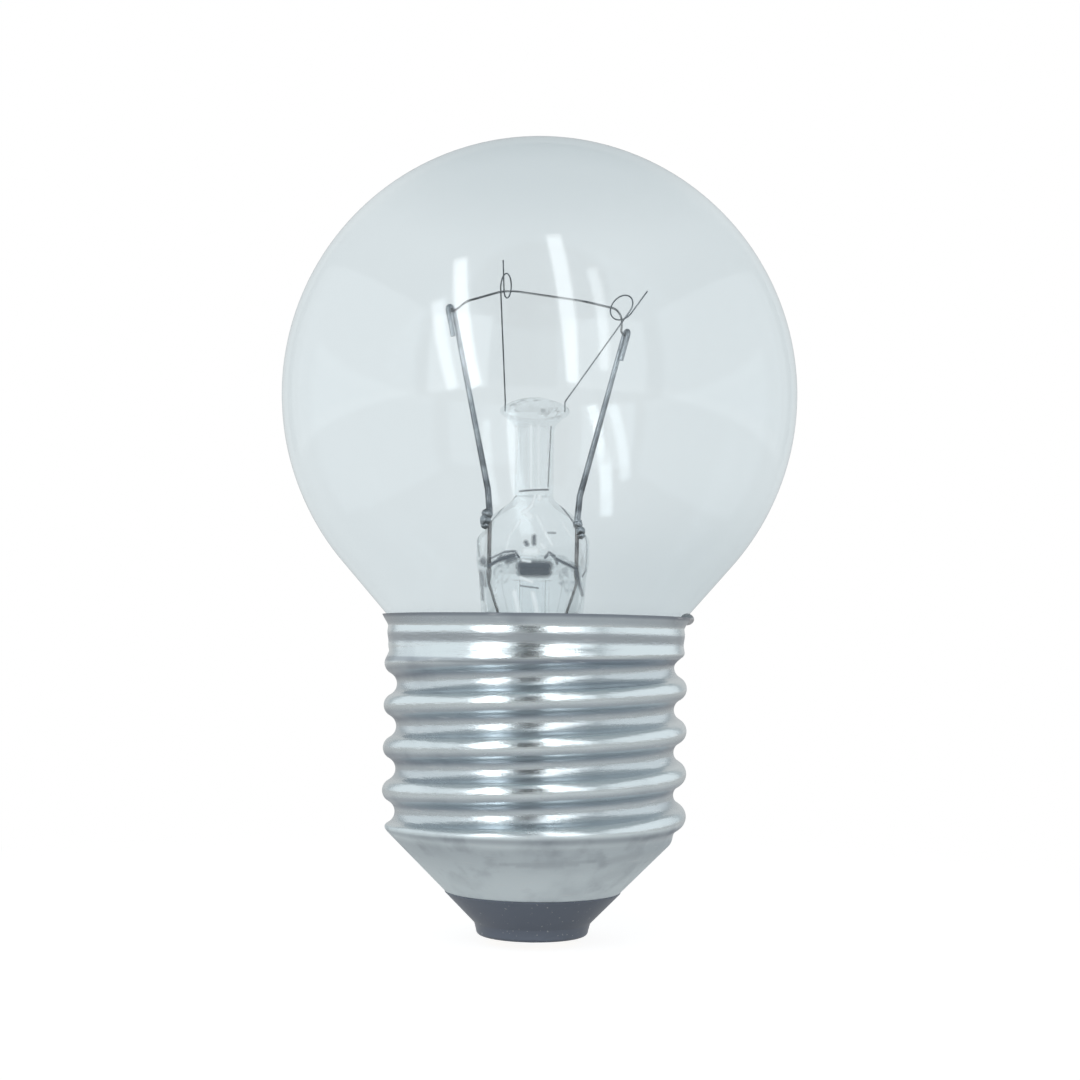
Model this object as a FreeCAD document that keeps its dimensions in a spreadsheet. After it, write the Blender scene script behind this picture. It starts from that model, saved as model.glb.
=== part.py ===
import FreeCAD, Part
import math
import os
import re
import Sketcher
from FreeCAD import Placement, Rotation, Vector

# Clear glass ball lamp with a filament and a rolled screw cap.
# The origin is the tip of the centre contact. +Z runs along the lamp's axis, up to the top of the globe.
# +X points to the side solder, and the blown hole of the stem faces -Y.

DOC = FreeCAD.newDocument("ball_lamp")

# Driving dimensions in millimetres and degrees. A formula follows the sizes above it.
SIZES = [
    ("rim_level", 27.9, "top of the cap"),
    ("thread_radius", 13.05, "crests of the cap's thread"),
    ("thread_depth", 1.1, "from crest to root"),
    ("thread_pitch", 3.629, "seven turns to the inch"),
    ("crest_drop", 6.93, "from the rim down to a crest at the front"),
    ("front_crest", "=rim_level - crest_drop", "height of a crest at the front"),
    ("cap_sheet", 0.25, "rolled sheet of the cap"),
    ("collar_inset", 0.25, "how far the plain collar stays behind the crests"),
    ("collar_radius", "=thread_radius - collar_inset", "plain collar above the thread"),
    ("collar_height", 2.5, "plain collar with its lip"),
    ("collar_foot", "=rim_level - collar_height", "where the collar is plain"),
    ("thread_fade", 1.7, "length in which the thread starts"),
    ("lip_height", 1.0, "lip at the top of the collar"),
    ("lip_foot", "=rim_level - lip_height", "where the lip turns out"),
    ("lip_reach", 0.52, "how far the lip stands out"),
    ("hem_radius", 7.58, "lower edge of the cap's sheet"),
    ("hem_level", 4.45, "lower edge of the cap's sheet, height"),
    ("cone_blend", 0.5, "rounding between thread and cone"),
    ("insulator_drop", 0.82, "from the cone's upper end down to the insulator's top"),
    ("insulator_top", "=hem_level + thread_radius - thread_depth - hem_radius - insulator_drop",
     "top of the insulator in the cap"),
    ("foot_level", 0.7, "underside of the insulator"),
    ("foot_radius", 4.8, "insulator's foot"),
    ("foot_rounding", 0.35, "rounded edge of the foot"),
    ("corner_out", 0.17, "how far the insulator's lower corner stands outside its foot"),
    ("corner_rise", 1.02, "from the underside up to that corner"),
    ("wire_hole", 1.3, "radius of the insulator's wire hole"),
    ("foot_rim", 0.9, "glass left round the contact plate"),
    ("plate_radius", "=foot_radius - foot_rim", "contact plate"),
    ("plate_thickness", 0.3, "contact plate"),
    ("plate_hole", 0.6, "radius of the contact plate's wire hole"),
    ("solder_radius", 1.9, "solder dome on the contact plate"),
    ("solder_plug", 0.45, "solder above the plate"),
    ("side_blob", 0.62, "solder at the rim"),
    ("cement_margin", 0.2, "from the cement to the ends of the collar's plain part"),
    ("cement_foot", "=collar_foot + cement_margin", "lower edge of the cement ring"),
    ("cement_top", "=lip_foot - cement_margin", "upper edge of the cement ring"),
    ("fit_gap", 0.01, "between pieces that fit together"),
    ("seat_gap", 0.05, "between the rolled sheet and what lies against it"),
    ("glass_wall", 0.5, "blown glass"),
    ("neck_clearance", 0.4, "between the neck and the thread's sheet"),
    ("neck_radius", "=thread_radius - thread_depth - cap_sheet - neck_clearance", "outside of the neck"),
    ("neck_blend", 3.5, "hollow curve from taper to neck"),
    ("neck_drop", 1.892, "from the rim down to where taper and neck would meet"),
    ("globe_radius", 22.3, "outside of the glass ball"),
    ("shoulder_angle", 41.0, "taper below the ball, from the axis"),
    ("taper_height", "=(globe_radius * cos(shoulder_angle) - neck_radius) / tan(shoulder_angle)",
     "from that meeting up to the ball"),
    ("globe_centre", "=rim_level - neck_drop + taper_height + globe_radius * sin(shoulder_angle)",
     "height of the ball's centre"),
    ("seal_drop", 9.9, "from the rim down to where neck and flare are sealed"),
    ("seal_level", "=rim_level - seal_drop", "where the neck is sealed to the flare"),
    ("mount_shift", -0.38, "how far the press with its rod and wires stands off the lamp's axis"),
    ("stem_radius", 4.35, "outside of the flare tube"),
    ("flare_height", 6.4, "from the seal up to where the flare has narrowed to its tube"),
    ("tube_straight", 9.0, "from the seal up to where the tube stands under the press"),
    ("stem_wall", 0.6, "flare tube glass"),
    ("stem_length", 13.0, "from the seal up to the press"),
    ("press_foot", "=seal_level + stem_length", "where the tube starts to be pinched"),
    ("pinch_rise", 1.7, "from the press's foot to where it is half pinched"),
    ("pinch_height", 3.3, "from the press's foot to its narrowest"),
    ("press_bulge", 0.55, "how far the pinched glass stands outside the tube"),
    ("press_half_width", "=stem_radius + press_bulge", "pinched glass, half of its width"),
    ("press_half_depth", 1.9, "pinched glass, half of its thickness"),
    ("shoulder_rise", 5.2, "from the press's foot up to its shoulder"),
    ("shoulder_level", "=press_foot + shoulder_rise", "shoulder of the press"),
    ("shoulder_inset", 1.15, "how far the shoulder stays behind the press"),
    ("shoulder_height", 2.15, "from the shoulder up to the rod"),
    ("rod_foot", "=shoulder_level + shoulder_height", "top of the press, where the rod stands"),
    ("rod_radius", 1.68, "glass rod on the press"),
    ("rod_length", 6.15, "from the press up to the button"),
    ("button_foot", "=rod_foot + rod_length", "lower edge of the button"),
    ("button_reach", 1.37, "how far the melted button stands outside the rod"),
    ("button_radius", "=rod_radius + button_reach", "melted button on the rod"),
    ("button_flare", 1.2, "from the button's lower edge up to its widest level"),
    ("button_edge", "=button_foot + button_flare", "widest level of the button"),
    ("button_rounding", 0.35, "rounded edge of the button"),
    ("button_dome", 1.3, "from that level up to the button's top"),
    ("button_top", "=button_edge + button_dome", "top of the button"),
    ("roof_rise", 2.2, "from the press's foot up to the roof of its hollow"),
    ("roof_level", "=press_foot + roof_rise", "roof of the hollow under the press"),
    ("roof_half_width", 2.9, "half width of the hollow at its roof"),
    ("roof_half_depth", 0.9, "half depth of the hollow at its roof"),
    ("exhaust_bore", 1.15, "inside radius of the exhaust tube"),
    ("exhaust_wall", 0.6, "exhaust tube glass"),
    ("exhaust_radius", "=exhaust_bore + exhaust_wall", "outside of the exhaust tube"),
    ("exhaust_rise", 0.2, "from the press's foot up to where the tube is fused to it"),
    ("exhaust_joint", "=press_foot + exhaust_rise", "where the tube is fused to the press"),
    ("exhaust_drop", 5.0, "from the seal down to the sealed end of the tube"),
    ("exhaust_tip", "=seal_level - exhaust_drop", "sealed end of the exhaust tube"),
    ("exhaust_taper", 2.6, "length of the drawn-out end"),
    ("exhaust_tip_radius", 0.55, "radius of the sealed end"),
    ("blow_rise", 2.0, "from the press's foot up to the blown hole"),
    ("blow_level", "=press_foot + blow_rise", "centre of the blown hole"),
    ("blow_half_width", 1.1, "half width of the blown hole"),
    ("blow_half_height", 0.7, "half height of the blown hole"),
    ("lead_radius", 0.3, "nickel lead above the press"),
    ("lead_bend", 2.2, "bend radius of a lead"),
    ("wire_inset", 1.1, "from the press's edge in to each wire"),
    ("seal_spread", "=press_half_width - wire_inset", "from the press's middle to each wire in it"),
    ("seal_wire_radius", 0.15, "thin wire through the press"),
    ("knot_radius", 0.52, "welded knot under each lead"),
    ("knot_flat", 0.46, "from a knot's centre to its flat underside"),
    ("left_knot_rise", 0.4, "from the shoulder up to the left knot"),
    ("left_knot", "=shoulder_level + left_knot_rise", "height of the left knot"),
    ("right_knot_rise", -0.1, "from the shoulder up to the right knot"),
    ("right_knot", "=shoulder_level + right_knot_rise", "height of the right knot"),
    ("elbow_rise", 2.25, "from a knot to the elbow above it"),
    ("elbow_out", 0.2, "how far an elbow stands outside its knot"),
    ("left_lead_rise", 18.3, "from the left knot up to its lead's fold"),
    ("left_lead_spread", 3.54, "how far that lead leans out"),
    ("left_top", "=left_knot + left_lead_rise", "left lead's fold, height"),
    ("left_top_out", "=seal_spread + left_lead_spread", "left lead's fold, from the press's middle"),
    ("right_lead_rise", 16.82, "from the right knot up to its lead's fold"),
    ("right_lead_spread", 4.0, "how far that lead leans out"),
    ("right_top", "=right_knot + right_lead_rise", "right lead's fold, height"),
    ("right_top_out", "=seal_spread + right_lead_spread", "right lead's fold, from the press's middle"),
    ("fold_gap", 0.26, "between the legs of a fold"),
    ("fold_leg", 2.75, "length of the folded leg"),
    ("left_fold_turn", 238.0, "direction of the left fold in plan"),
    ("right_fold_turn", 292.0, "direction of the right fold in plan"),
    ("filament_radius", 0.1, "coiled filament, outside"),
    ("filament_bend", 2.5, "bend radius of the filament"),
    ("fold_mouth", 0.5, "from the middle of a fold to where the filament leaves it"),
    ("support_radius", 0.08, "support wire"),
    ("support_inset", 0.45, "from the button's edge in to each support's foot"),
    ("support_spread", "=button_radius - support_inset", "from the rod's middle to each support's foot"),
    ("support_front", 0.5, "the same, towards the front"),
    ("support_stub", 0.9, "upright stretch of a support's foot"),
    ("left_curl_out", 2.92, "where the left support starts its loop, from the rod's middle"),
    ("left_curl_front", 4.4, "the same, towards the front"),
    ("left_curl_rise", 0.83, "the same, from the left fold up"),
    ("left_curl_radius", 1.04, "left loop"),
    ("right_curl_past", 0.38, "where the right support starts its loop, out from the right fold"),
    ("right_curl_out", "=right_top_out + right_curl_past", "the same, from the rod's middle"),
    ("right_curl_front", 1.2, "the same, towards the front"),
    ("right_curl_rise", 1.49, "the same, from the right fold up"),
    ("right_curl_radius", 1.17, "right loop"),
    ("support_tail", 2.4, "free end past a loop"),
    ("loop_pitch", 0.3, "sideways step of a loop's turn"),
    ("joint_rise", 0.9, "from the press's foot up to the joints of thin wires and outer leads"),
    ("joint_level", "=press_foot + joint_rise", "joint of the thin wire and the outer lead"),
    ("joint_radius", 0.24, "widest part of that joint"),
    ("joint_length", 1.2, "tapered length of that joint"),
    ("outer_lead_radius", 0.12, "copper lead to the cap"),
    ("lead_inset", 0.8, "how far the side lead is bent in below its joint"),
    ("lead_under", 3.0, "from the sealed neck down to where the side lead passes it"),
    ("lead_over", 0.3, "from the foot of the lip up to the side lead's end"),
    ("lead_drop", 1.5, "from the insulator up to the centre lead's bend"),
]
NAMES = {name for name, value, note in SIZES}

# Direction from each support's shank to the middle of its loop
LEFT_LEAN = (0.33, 0.94, 0)
RIGHT_LEAN = (-0.675, 0.62, 0.4)

# Where the filament passes each loop, from the loop's middle: out, back and up
LEFT_PASS = Vector(0, -0.3, -0.43)
RIGHT_PASS = Vector(0, -0.1, -0.4)

# How far the filament rises from the left fold, sags between the loops, and dips round the right fold
LEFT_RISE = Vector(1.3, -0.7, 0.72)
SAG = Vector(0, -0.9, 0.1)
RIGHT_NEAR = Vector(-0.8, -0.55, 0.2)
RIGHT_DIP = Vector(0.1, 0.05, 0.9)

# Share of a straight run that an arc at its end may take
RUN_SHARE = 0.49

# Points that the cap's skin is drawn through: rings below the lip, rings in the lip, and points in a ring
SKIN_RINGS = 80
LIP_RINGS = 8
SKIN_SIDES = 40

DIMS = DOC.addObject("Spreadsheet::Sheet", "dims")
for row, (name, value, note) in enumerate(SIZES, start=1):
    DIMS.set(f"A{row}", name)
    DIMS.set(f"B{row}", str(value))
    DIMS.set(f"C{row}", note)
    DIMS.setAlias(f"B{row}", name)
DOC.recompute()


def bound(text):
    """An expression on the sheet's names, as an object of the document reads it."""
    return re.sub(r"[a-z_]+", lambda word: "dims." + word[0] if word[0] in NAMES else word[0], text)


def size(text):
    """The value of an expression on the sheet's names."""
    return float(DIMS.evalExpression(str(text)))


def new_body(label):
    body = DOC.addObject("PartDesign::Body", label)
    body.Label = label
    return body


def new_sketch(body, name, role, offset=None, out="0"):
    """An empty sketch on one of the body's own planes, raised and moved out by bound offsets."""
    sketch = body.newObject("Sketcher::SketchObject", name)
    plane = [item for item in body.Origin.OriginFeatures if item.Role == role][0]
    sketch.AttachmentSupport = (plane, "")
    sketch.MapMode = "FlatFace"
    if offset:
        sketch.AttachmentOffset = Placement(Vector(size(out), 0, size(offset)), Rotation())
        sketch.setExpression("AttachmentOffset.Base.x", bound(out))
        sketch.setExpression("AttachmentOffset.Base.z", bound(offset))
    return sketch


def pin_point(sketch, edge, end, across, up):
    """Ties a point of a sketch to the sheet."""
    for kind, text, axis in (("DistanceX", across, -2), ("DistanceY", up, -1)):
        value = size(text)
        if abs(value) < 1e-9:
            sketch.addConstraint(Sketcher.Constraint("PointOnObject", edge, end, axis))
            continue
        index = sketch.addConstraint(Sketcher.Constraint(kind, -1, 1, edge, end, value))
        sketch.setExpression(f"Constraints[{index}]", bound(text))


def draw_outline(sketch, corners):
    """A closed outline. A corner is (across, up), or (across, up, radius, side) where an arc leaves it.

    side is 1 when the arc's centre lies to the left of the way to the next corner, and -1 to the right.
    """
    ends = []
    for here, after in zip(corners, corners[1:] + corners[:1]):
        start = Vector(size(here[0]), size(here[1]), 0)
        finish = Vector(size(after[0]), size(after[1]), 0)
        if len(here) == 2:
            edge = sketch.addGeometry(Part.LineSegment(start, finish), False)
            ends.append((edge, 1, 2))
            continue
        radius, side = size(here[2]), here[3]
        chord = finish - start
        rise = math.sqrt(max(radius ** 2 - chord.Length ** 2 / 4, 0))
        left = Vector(-chord.y, chord.x, 0).normalize()
        centre = (start + finish) / 2 + left * rise * side
        angles = [math.atan2(point.y - centre.y, point.x - centre.x) for point in (start, finish)]
        if side < 0:
            angles.reverse()
        circle = Part.Circle(centre, Vector(0, 0, 1), radius)
        edge = sketch.addGeometry(Part.ArcOfCircle(circle, angles[0], angles[1]), False)
        ends.append((edge, 1, 2) if side > 0 else (edge, 2, 1))
        index = sketch.addConstraint(Sketcher.Constraint("Radius", edge, radius))
        sketch.setExpression(f"Constraints[{index}]", bound(here[2]))
    for (edge, first, last), (after, start, finish), corner in zip(ends, ends[1:] + ends[:1],
                                                                   corners[1:] + corners[:1]):
        sketch.addConstraint(Sketcher.Constraint("Coincident", edge, last, after, start))
        pin_point(sketch, after, start, corner[0], corner[1])


def revolve(body, name, corners, groove=False):
    """Turns an outline about the lamp's axis, as material or as a cut."""
    sketch = new_sketch(body, name + "Outline", "XZ_Plane")
    draw_outline(sketch, corners)
    turn = body.newObject("PartDesign::Groove" if groove else "PartDesign::Revolution", name)
    turn.Profile = sketch
    turn.ReferenceAxis = (sketch, ["V_Axis"])
    turn.Angle = 360
    DOC.recompute()
    return turn


def draw_oval(sketch, up, half_width, half_height):
    """An ellipse on the sketch's upright axis, tied to the sheet."""
    wide, tall, level = size(half_width), size(half_height), size(up)
    ring = Part.Ellipse(Vector(wide, level, 0), Vector(0, level + tall, 0), Vector(0, level, 0))
    edge = sketch.addGeometry(ring, False)
    sketch.exposeInternalGeometry(edge)
    pin_point(sketch, edge, 3, "0", up)
    ends = {end: sketch.getPoint(edge + 1, end).x for end in (1, 2)}
    pin_point(sketch, edge + 1, max(ends, key=ends.get), half_width, up)
    ends = {end: sketch.getPoint(edge + 2, end).y for end in (1, 2)}
    index = sketch.addConstraint(Sketcher.Constraint("DistanceY", -1, 1, edge + 2, max(ends, key=ends.get),
                                                     level + tall))
    sketch.setExpression(f"Constraints[{index}]", bound(f"{up} + {half_height}"))


def oval(body, name, level, half_width, half_depth, out="mount_shift"):
    """A level section of the stem, round or oval."""
    sketch = new_sketch(body, name, "XY_Plane", level, out)
    if half_width != half_depth:
        draw_oval(sketch, "0", half_width, half_depth)
        return sketch
    edge = sketch.addGeometry(Part.Circle(Vector(0, 0, 0), Vector(0, 0, 1), size(half_width)), False)
    sketch.addConstraint(Sketcher.Constraint("Coincident", edge, 3, -1, 1))
    index = sketch.addConstraint(Sketcher.Constraint("Radius", edge, size(half_width)))
    sketch.setExpression(f"Constraints[{index}]", bound(half_width))
    return sketch


def loft(body, name, sections, cut=False):
    """Blends level sections into one form."""
    form = body.newObject("PartDesign::SubtractiveLoft" if cut else "PartDesign::AdditiveLoft", name)
    sketches = [oval(body, f"{name}Section{index}", *section) for index, section in enumerate(sections)]
    form.Profile = sketches[0]
    form.Sections = sketches[1:]
    form.Ruled = False
    DOC.recompute()
    return form


def drum(body, name, radius, height, foot, out="0", front="0", cut=False):
    """An upright cylinder in a body, as material or as a cut."""
    form = body.newObject("PartDesign::SubtractiveCylinder" if cut else "PartDesign::AdditiveCylinder", name)
    plane = [item for item in body.Origin.OriginFeatures if item.Role == "XY_Plane"][0]
    form.AttachmentSupport = (plane, "")
    form.MapMode = "FlatFace"
    form.AttachmentOffset = Placement(Vector(size(out), -size(front), size(foot)), Rotation())
    form.setExpression("AttachmentOffset.Base.x", bound(out))
    form.setExpression("AttachmentOffset.Base.y", bound(f"-({front})"))
    form.setExpression("AttachmentOffset.Base.z", bound(foot))
    form.setExpression("Radius", bound(radius))
    form.setExpression("Height", bound(height))
    DOC.recompute()
    return form


def place(shape_object, out, front, level):
    """Ties an object's place to the sheet."""
    shape_object.Placement = Placement(Vector(size(out), size(front), size(level)), Rotation())
    for axis, text in (("x", out), ("y", front), ("z", level)):
        shape_object.setExpression("Placement.Base." + axis, bound(text))


def bent_path(corners, bend):
    """Straight runs joined by tangent arcs; a short run takes a smaller arc."""
    points = [corners[0]]
    edges = []
    for before, corner, after in zip(corners, corners[1:], corners[2:]):
        back, ahead = before - corner, after - corner
        half = back.getAngle(ahead) / 2
        reach = min(bend / math.tan(half), RUN_SHARE * back.Length, RUN_SHARE * ahead.Length)
        back.normalize()
        ahead.normalize()
        start, finish = corner + back * reach, corner + ahead * reach
        inward = (back + ahead).normalize()
        radius = reach * math.tan(half)
        middle = corner + inward * (radius / math.sin(half) - radius)
        edges.append(Part.LineSegment(points[-1], start).toShape())
        edges.append(Part.Arc(start, middle, finish).toShape())
        points.append(finish)
    edges.append(Part.LineSegment(points[-1], corners[-1]).toShape())
    return Part.Wire(edges)


def drawn_wire(path, radius):
    """A round wire along a path."""
    first = path.Edges[0]
    start = first.valueAt(first.FirstParameter)
    section = Part.Wire(Part.Circle(start, first.tangentAt(first.FirstParameter), radius).toShape())
    wire = path.makePipeShell([section], True, False)
    length = math.pi * radius ** 2 * path.Length
    if abs(wire.Volume / length - 1) > 0.02:
        raise RuntimeError(f"wire volume {wire.Volume:.4f} instead of {length:.4f}")
    return wire


def coded(label, shape):
    """A form that is worked out from the sheet."""
    feature = DOC.addObject("Part::Feature", label)
    feature.Label = label
    feature.Shape = shape
    feature.Placement = Placement()
    return feature


def point(out, front, level):
    return Vector(size(out), size(front), size(level))


def blown_outline(wall, foot):
    """Half outline of the blown glass, set in by a wall: ball, taper, hollow curve and neck."""
    ball = f"(globe_radius - {wall})"
    neck = f"(neck_radius - {wall})"
    blend = f"(neck_blend + {wall})"
    taper_top = f"(globe_centre - {ball} * sin(shoulder_angle))"
    corner = f"({taper_top} - ({ball} * cos(shoulder_angle) - {neck}) / tan(shoulder_angle))"
    reach = f"({blend} * tan(shoulder_angle / 2))"
    return [
        ("0", f"globe_centre + {ball}", ball, -1),
        (f"{ball} * cos(shoulder_angle)", taper_top),
        (f"{neck} + {reach} * sin(shoulder_angle)", f"{corner} + {reach} * cos(shoulder_angle)", blend, 1),
        (neck, f"{corner} - {reach}"),
        (neck, foot),
        ("0", foot),
    ]


# Globe
def make_globe():
    body = new_body("globe_envelope")
    revolve(body, "BlownGlass", blown_outline("0", "seal_level"))
    revolve(body, "Inside", blown_outline("glass_wall", "seal_level - glass_wall"), groove=True)
    return body


def make_globe_blank():
    """The blown glass without its hollow, which the cement and the side solder fit round."""
    body = new_body("globe_blank")
    revolve(body, "Blank", blown_outline("0", "seal_level"))
    return body


# Stem
def make_stem():
    body = new_body("stem_flare")
    rim = "(neck_radius - glass_wall)"
    bore = "(stem_radius - stem_wall)"
    sweep = f"((({rim} - stem_radius) ^ 2 + flare_height ^ 2) / (2 * ({rim} - stem_radius)))"
    flare_top = "(seal_level + flare_height)"
    straight = "(seal_level + tube_straight)"
    revolve(body, "Flare", [
        ("0", flare_top),
        ("0", "seal_level - stem_wall"),
        ("neck_radius", "seal_level - stem_wall"),
        ("neck_radius", "seal_level"),
        (rim, "seal_level", sweep, -1),
        ("stem_radius", flare_top),
    ])
    loft(body, "Press", [
        (flare_top, "stem_radius", "stem_radius", "0"),
        (straight, "stem_radius", "stem_radius"),
        ("press_foot", "stem_radius + press_bulge / 2", "stem_radius"),
        ("press_foot + pinch_rise", "press_half_width", "(stem_radius + press_half_depth) / 2"),
        ("press_foot + pinch_height", "press_half_width * 1.001", "press_half_depth"),
        ("shoulder_level", "press_half_width - shoulder_inset", "press_half_depth * 0.95"),
        ("rod_foot", "rod_radius", "rod_radius"),
    ])
    revolve(body, "FlareHollow", [
        ("0", flare_top),
        ("0", "seal_level - stem_wall"),
        (f"{rim} - stem_wall", "seal_level - stem_wall", f"{sweep} + stem_wall", -1),
        (bore, flare_top),
    ], groove=True)
    loft(body, "Hollow", [
        (flare_top, bore, bore, "0"),
        (straight, bore, bore),
        ("press_foot", f"{bore} + press_bulge * 0.7", bore),
        ("(press_foot + roof_level) / 2", f"{bore} + press_bulge",
         "(stem_radius + press_half_depth) / 2 - stem_wall"),
        ("roof_level", "roof_half_width", "roof_half_depth"),
    ], cut=True)
    drum(body, "ExhaustRoot", "exhaust_radius", "roof_level + stem_wall - exhaust_joint", "exhaust_joint",
         out="mount_shift")
    drum(body, "ExhaustPassage", "exhaust_bore", "blow_level - exhaust_joint", "exhaust_joint",
         out="mount_shift", cut=True)
    for side, sign, knot in (("Left", "-", "left_knot"), ("Right", "+", "right_knot")):
        spread = f"mount_shift {sign} seal_spread"
        drum(body, side + "WireHole", "seal_wire_radius + fit_gap", "rod_foot - press_foot", "press_foot",
             out=spread, cut=True)
        dent = body.newObject("PartDesign::SubtractiveSphere", side + "KnotDent")
        plane = [item for item in body.Origin.OriginFeatures if item.Role == "XY_Plane"][0]
        dent.AttachmentSupport = (plane, "")
        dent.MapMode = "FlatFace"
        dent.AttachmentOffset = Placement(point(spread, "0", knot), Rotation())
        dent.setExpression("AttachmentOffset.Base.x", bound(spread))
        dent.setExpression("AttachmentOffset.Base.z", bound(knot))
        dent.setExpression("Radius", bound("knot_radius + fit_gap"))
        DOC.recompute()
    mouth = new_sketch(body, "BlownHoleOutline", "XZ_Plane", "0", "mount_shift")
    draw_oval(mouth, "blow_level", "blow_half_width", "blow_half_height")
    before = body.Shape.Volume
    hole = body.newObject("PartDesign::Pocket", "BlownHole")
    hole.Profile = mouth
    hole.Reversed = True
    hole.setExpression("Length", bound("stem_radius"))
    DOC.recompute()
    if body.Shape.Volume > before - 1.0:
        raise RuntimeError("the blown hole cuts nothing")
    return body


def make_exhaust_tube():
    body = new_body("exhaust_tube")
    revolve(body, "Tube", [
        ("exhaust_radius", "exhaust_joint"),
        ("exhaust_bore", "exhaust_joint"),
        ("exhaust_bore", "exhaust_tip + exhaust_taper"),
        ("0", "exhaust_tip + exhaust_tip_radius * 2"),
        ("0", "exhaust_tip"),
        ("exhaust_tip_radius", "exhaust_tip"),
        ("exhaust_radius", "exhaust_tip + exhaust_taper"),
    ])
    place(body, "mount_shift", "0", "0")
    return body


def make_rod():
    body = new_body("arbor_rod")
    dome_radius = "(button_radius - button_rounding / 2)"
    dome_foot = "(button_edge + button_rounding)"
    dome_height = f"(button_top - {dome_foot})"
    revolve(body, "RodAndButton", [
        ("0", "rod_foot"),
        ("rod_radius", "rod_foot"),
        ("rod_radius", "button_foot", "button_radius * 0.75", -1),
        ("button_radius", "button_edge", "button_rounding * 1.2", 1),
        (dome_radius, dome_foot, f"({dome_radius} ^ 2 + {dome_height} ^ 2) / (2 * {dome_height})", 1),
        ("0", "button_top"),
    ])
    for side, sign in (("Left", "-"), ("Right", "")):
        drum(body, side + "Hole", "support_radius + fit_gap", "support_stub", "button_edge",
             out=sign + "support_spread", front="support_front", cut=True)
    place(body, "mount_shift", "0", "0")
    return body


# Wires of the mount
def fold_step(turn):
    """From the shank to the folded leg, in plan."""
    angle = math.radians(size(turn))
    reach = 2 * size("lead_radius") + size("fold_gap")
    return Vector(math.cos(angle), math.sin(angle), 0) * reach


def off_axis(side, out, front, level):
    """A place in the mount: out to a side from the mount's own axis, towards the front, and up."""
    return Vector(size("mount_shift") + side * size(out), -size(front), size(level))


def lead_corners(side, name):
    """Route of a nickel lead: knot, elbow, long shank, and an end folded over the filament."""
    knot = off_axis(side, "seal_spread", "0", name + "_knot")
    elbow = knot + Vector(side * size("elbow_out"), 0, size("elbow_rise"))
    top = off_axis(side, name + "_top_out", "0", name + "_top")
    along = (top - elbow).normalize()
    over = top + fold_step(name + "_fold_turn")
    return [knot, elbow, top, over, over - along * size("fold_leg")]


def make_lead(side, name):
    corners = lead_corners(side, name)
    knot = corners[0]
    shank = drawn_wire(bent_path(corners, size("lead_bend")), size("lead_radius"))
    bead = Part.makeSphere(size("knot_radius"), knot)
    reach = size("knot_radius")
    under = Part.makeBox(2 * reach, 2 * reach, reach, knot - Vector(reach, reach, reach + size("knot_flat")))
    return coded("inner_lead_" + name, shank.fuse(bead).cut(under).removeSplitter())


def make_seal_wire(side, name):
    """The thin wire that the press holds, from the knot to the joint below the glass."""
    wire = DOC.addObject("Part::Cylinder", "seal_wire_" + name)
    wire.Label = "seal_wire_" + name
    wire.setExpression("Radius", bound("seal_wire_radius"))
    wire.setExpression("Height", bound(f"{name}_knot - knot_flat - joint_level"))
    place(wire, f"mount_shift + {side} * seal_spread", "0", "joint_level")
    return wire


def make_outer_lead(side, label, corners):
    """A copper lead that starts with a tapered joint under the seal wire."""
    top = off_axis(side, "seal_spread", "0", "joint_level")
    taper = Part.makeCone(size("joint_radius"), size("outer_lead_radius"), size("joint_length"), top,
                          Vector(0, 0, -1))
    start = top - Vector(0, 0, size("joint_length"))
    wire = drawn_wire(bent_path([start] + corners, size("joint_length")), size("outer_lead_radius"))
    return coded(label, taper.fuse(wire).removeSplitter())


def support_frame(name, side, lean):
    """Foot, upright end of the foot, start of the loop, and the loop's own three directions."""
    foot = off_axis(side, "support_spread", "support_front", "button_edge")
    stub = foot + Vector(0, 0, size("support_stub"))
    start = off_axis(side, name + "_curl_out", name + "_curl_front", f"{name}_top + {name}_curl_rise")
    along = (start - stub).normalize()
    inward = Vector(*lean)
    inward = (inward - along * inward.dot(along)).normalize()
    return foot, stub, start, along, inward, inward.cross(along)


def make_support(name, side, lean, turns=8):
    """Support wire: upright foot in the button, shank, one loop that steps sideways, and free tail."""
    foot, stub, start, along, inward, axis = support_frame(name, side, lean)
    radius = size(name + "_curl_radius")
    centre = start + inward * radius
    reach = radius / math.cos(math.pi / turns)
    corners = [foot, stub]
    for index in range(turns):
        part = (index + 0.5) / turns
        angle = 2 * math.pi * part
        step = axis * size("loop_pitch") * (part - 0.5)
        corners.append(centre + (along * math.sin(angle) - inward * math.cos(angle)) * reach + step)
    corners.append(start + axis * size("loop_pitch") / 2 + along * size("support_tail"))
    wire = drawn_wire(bent_path(corners, radius), size("support_radius"))
    return coded("support_wire_" + name, wire)


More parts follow.
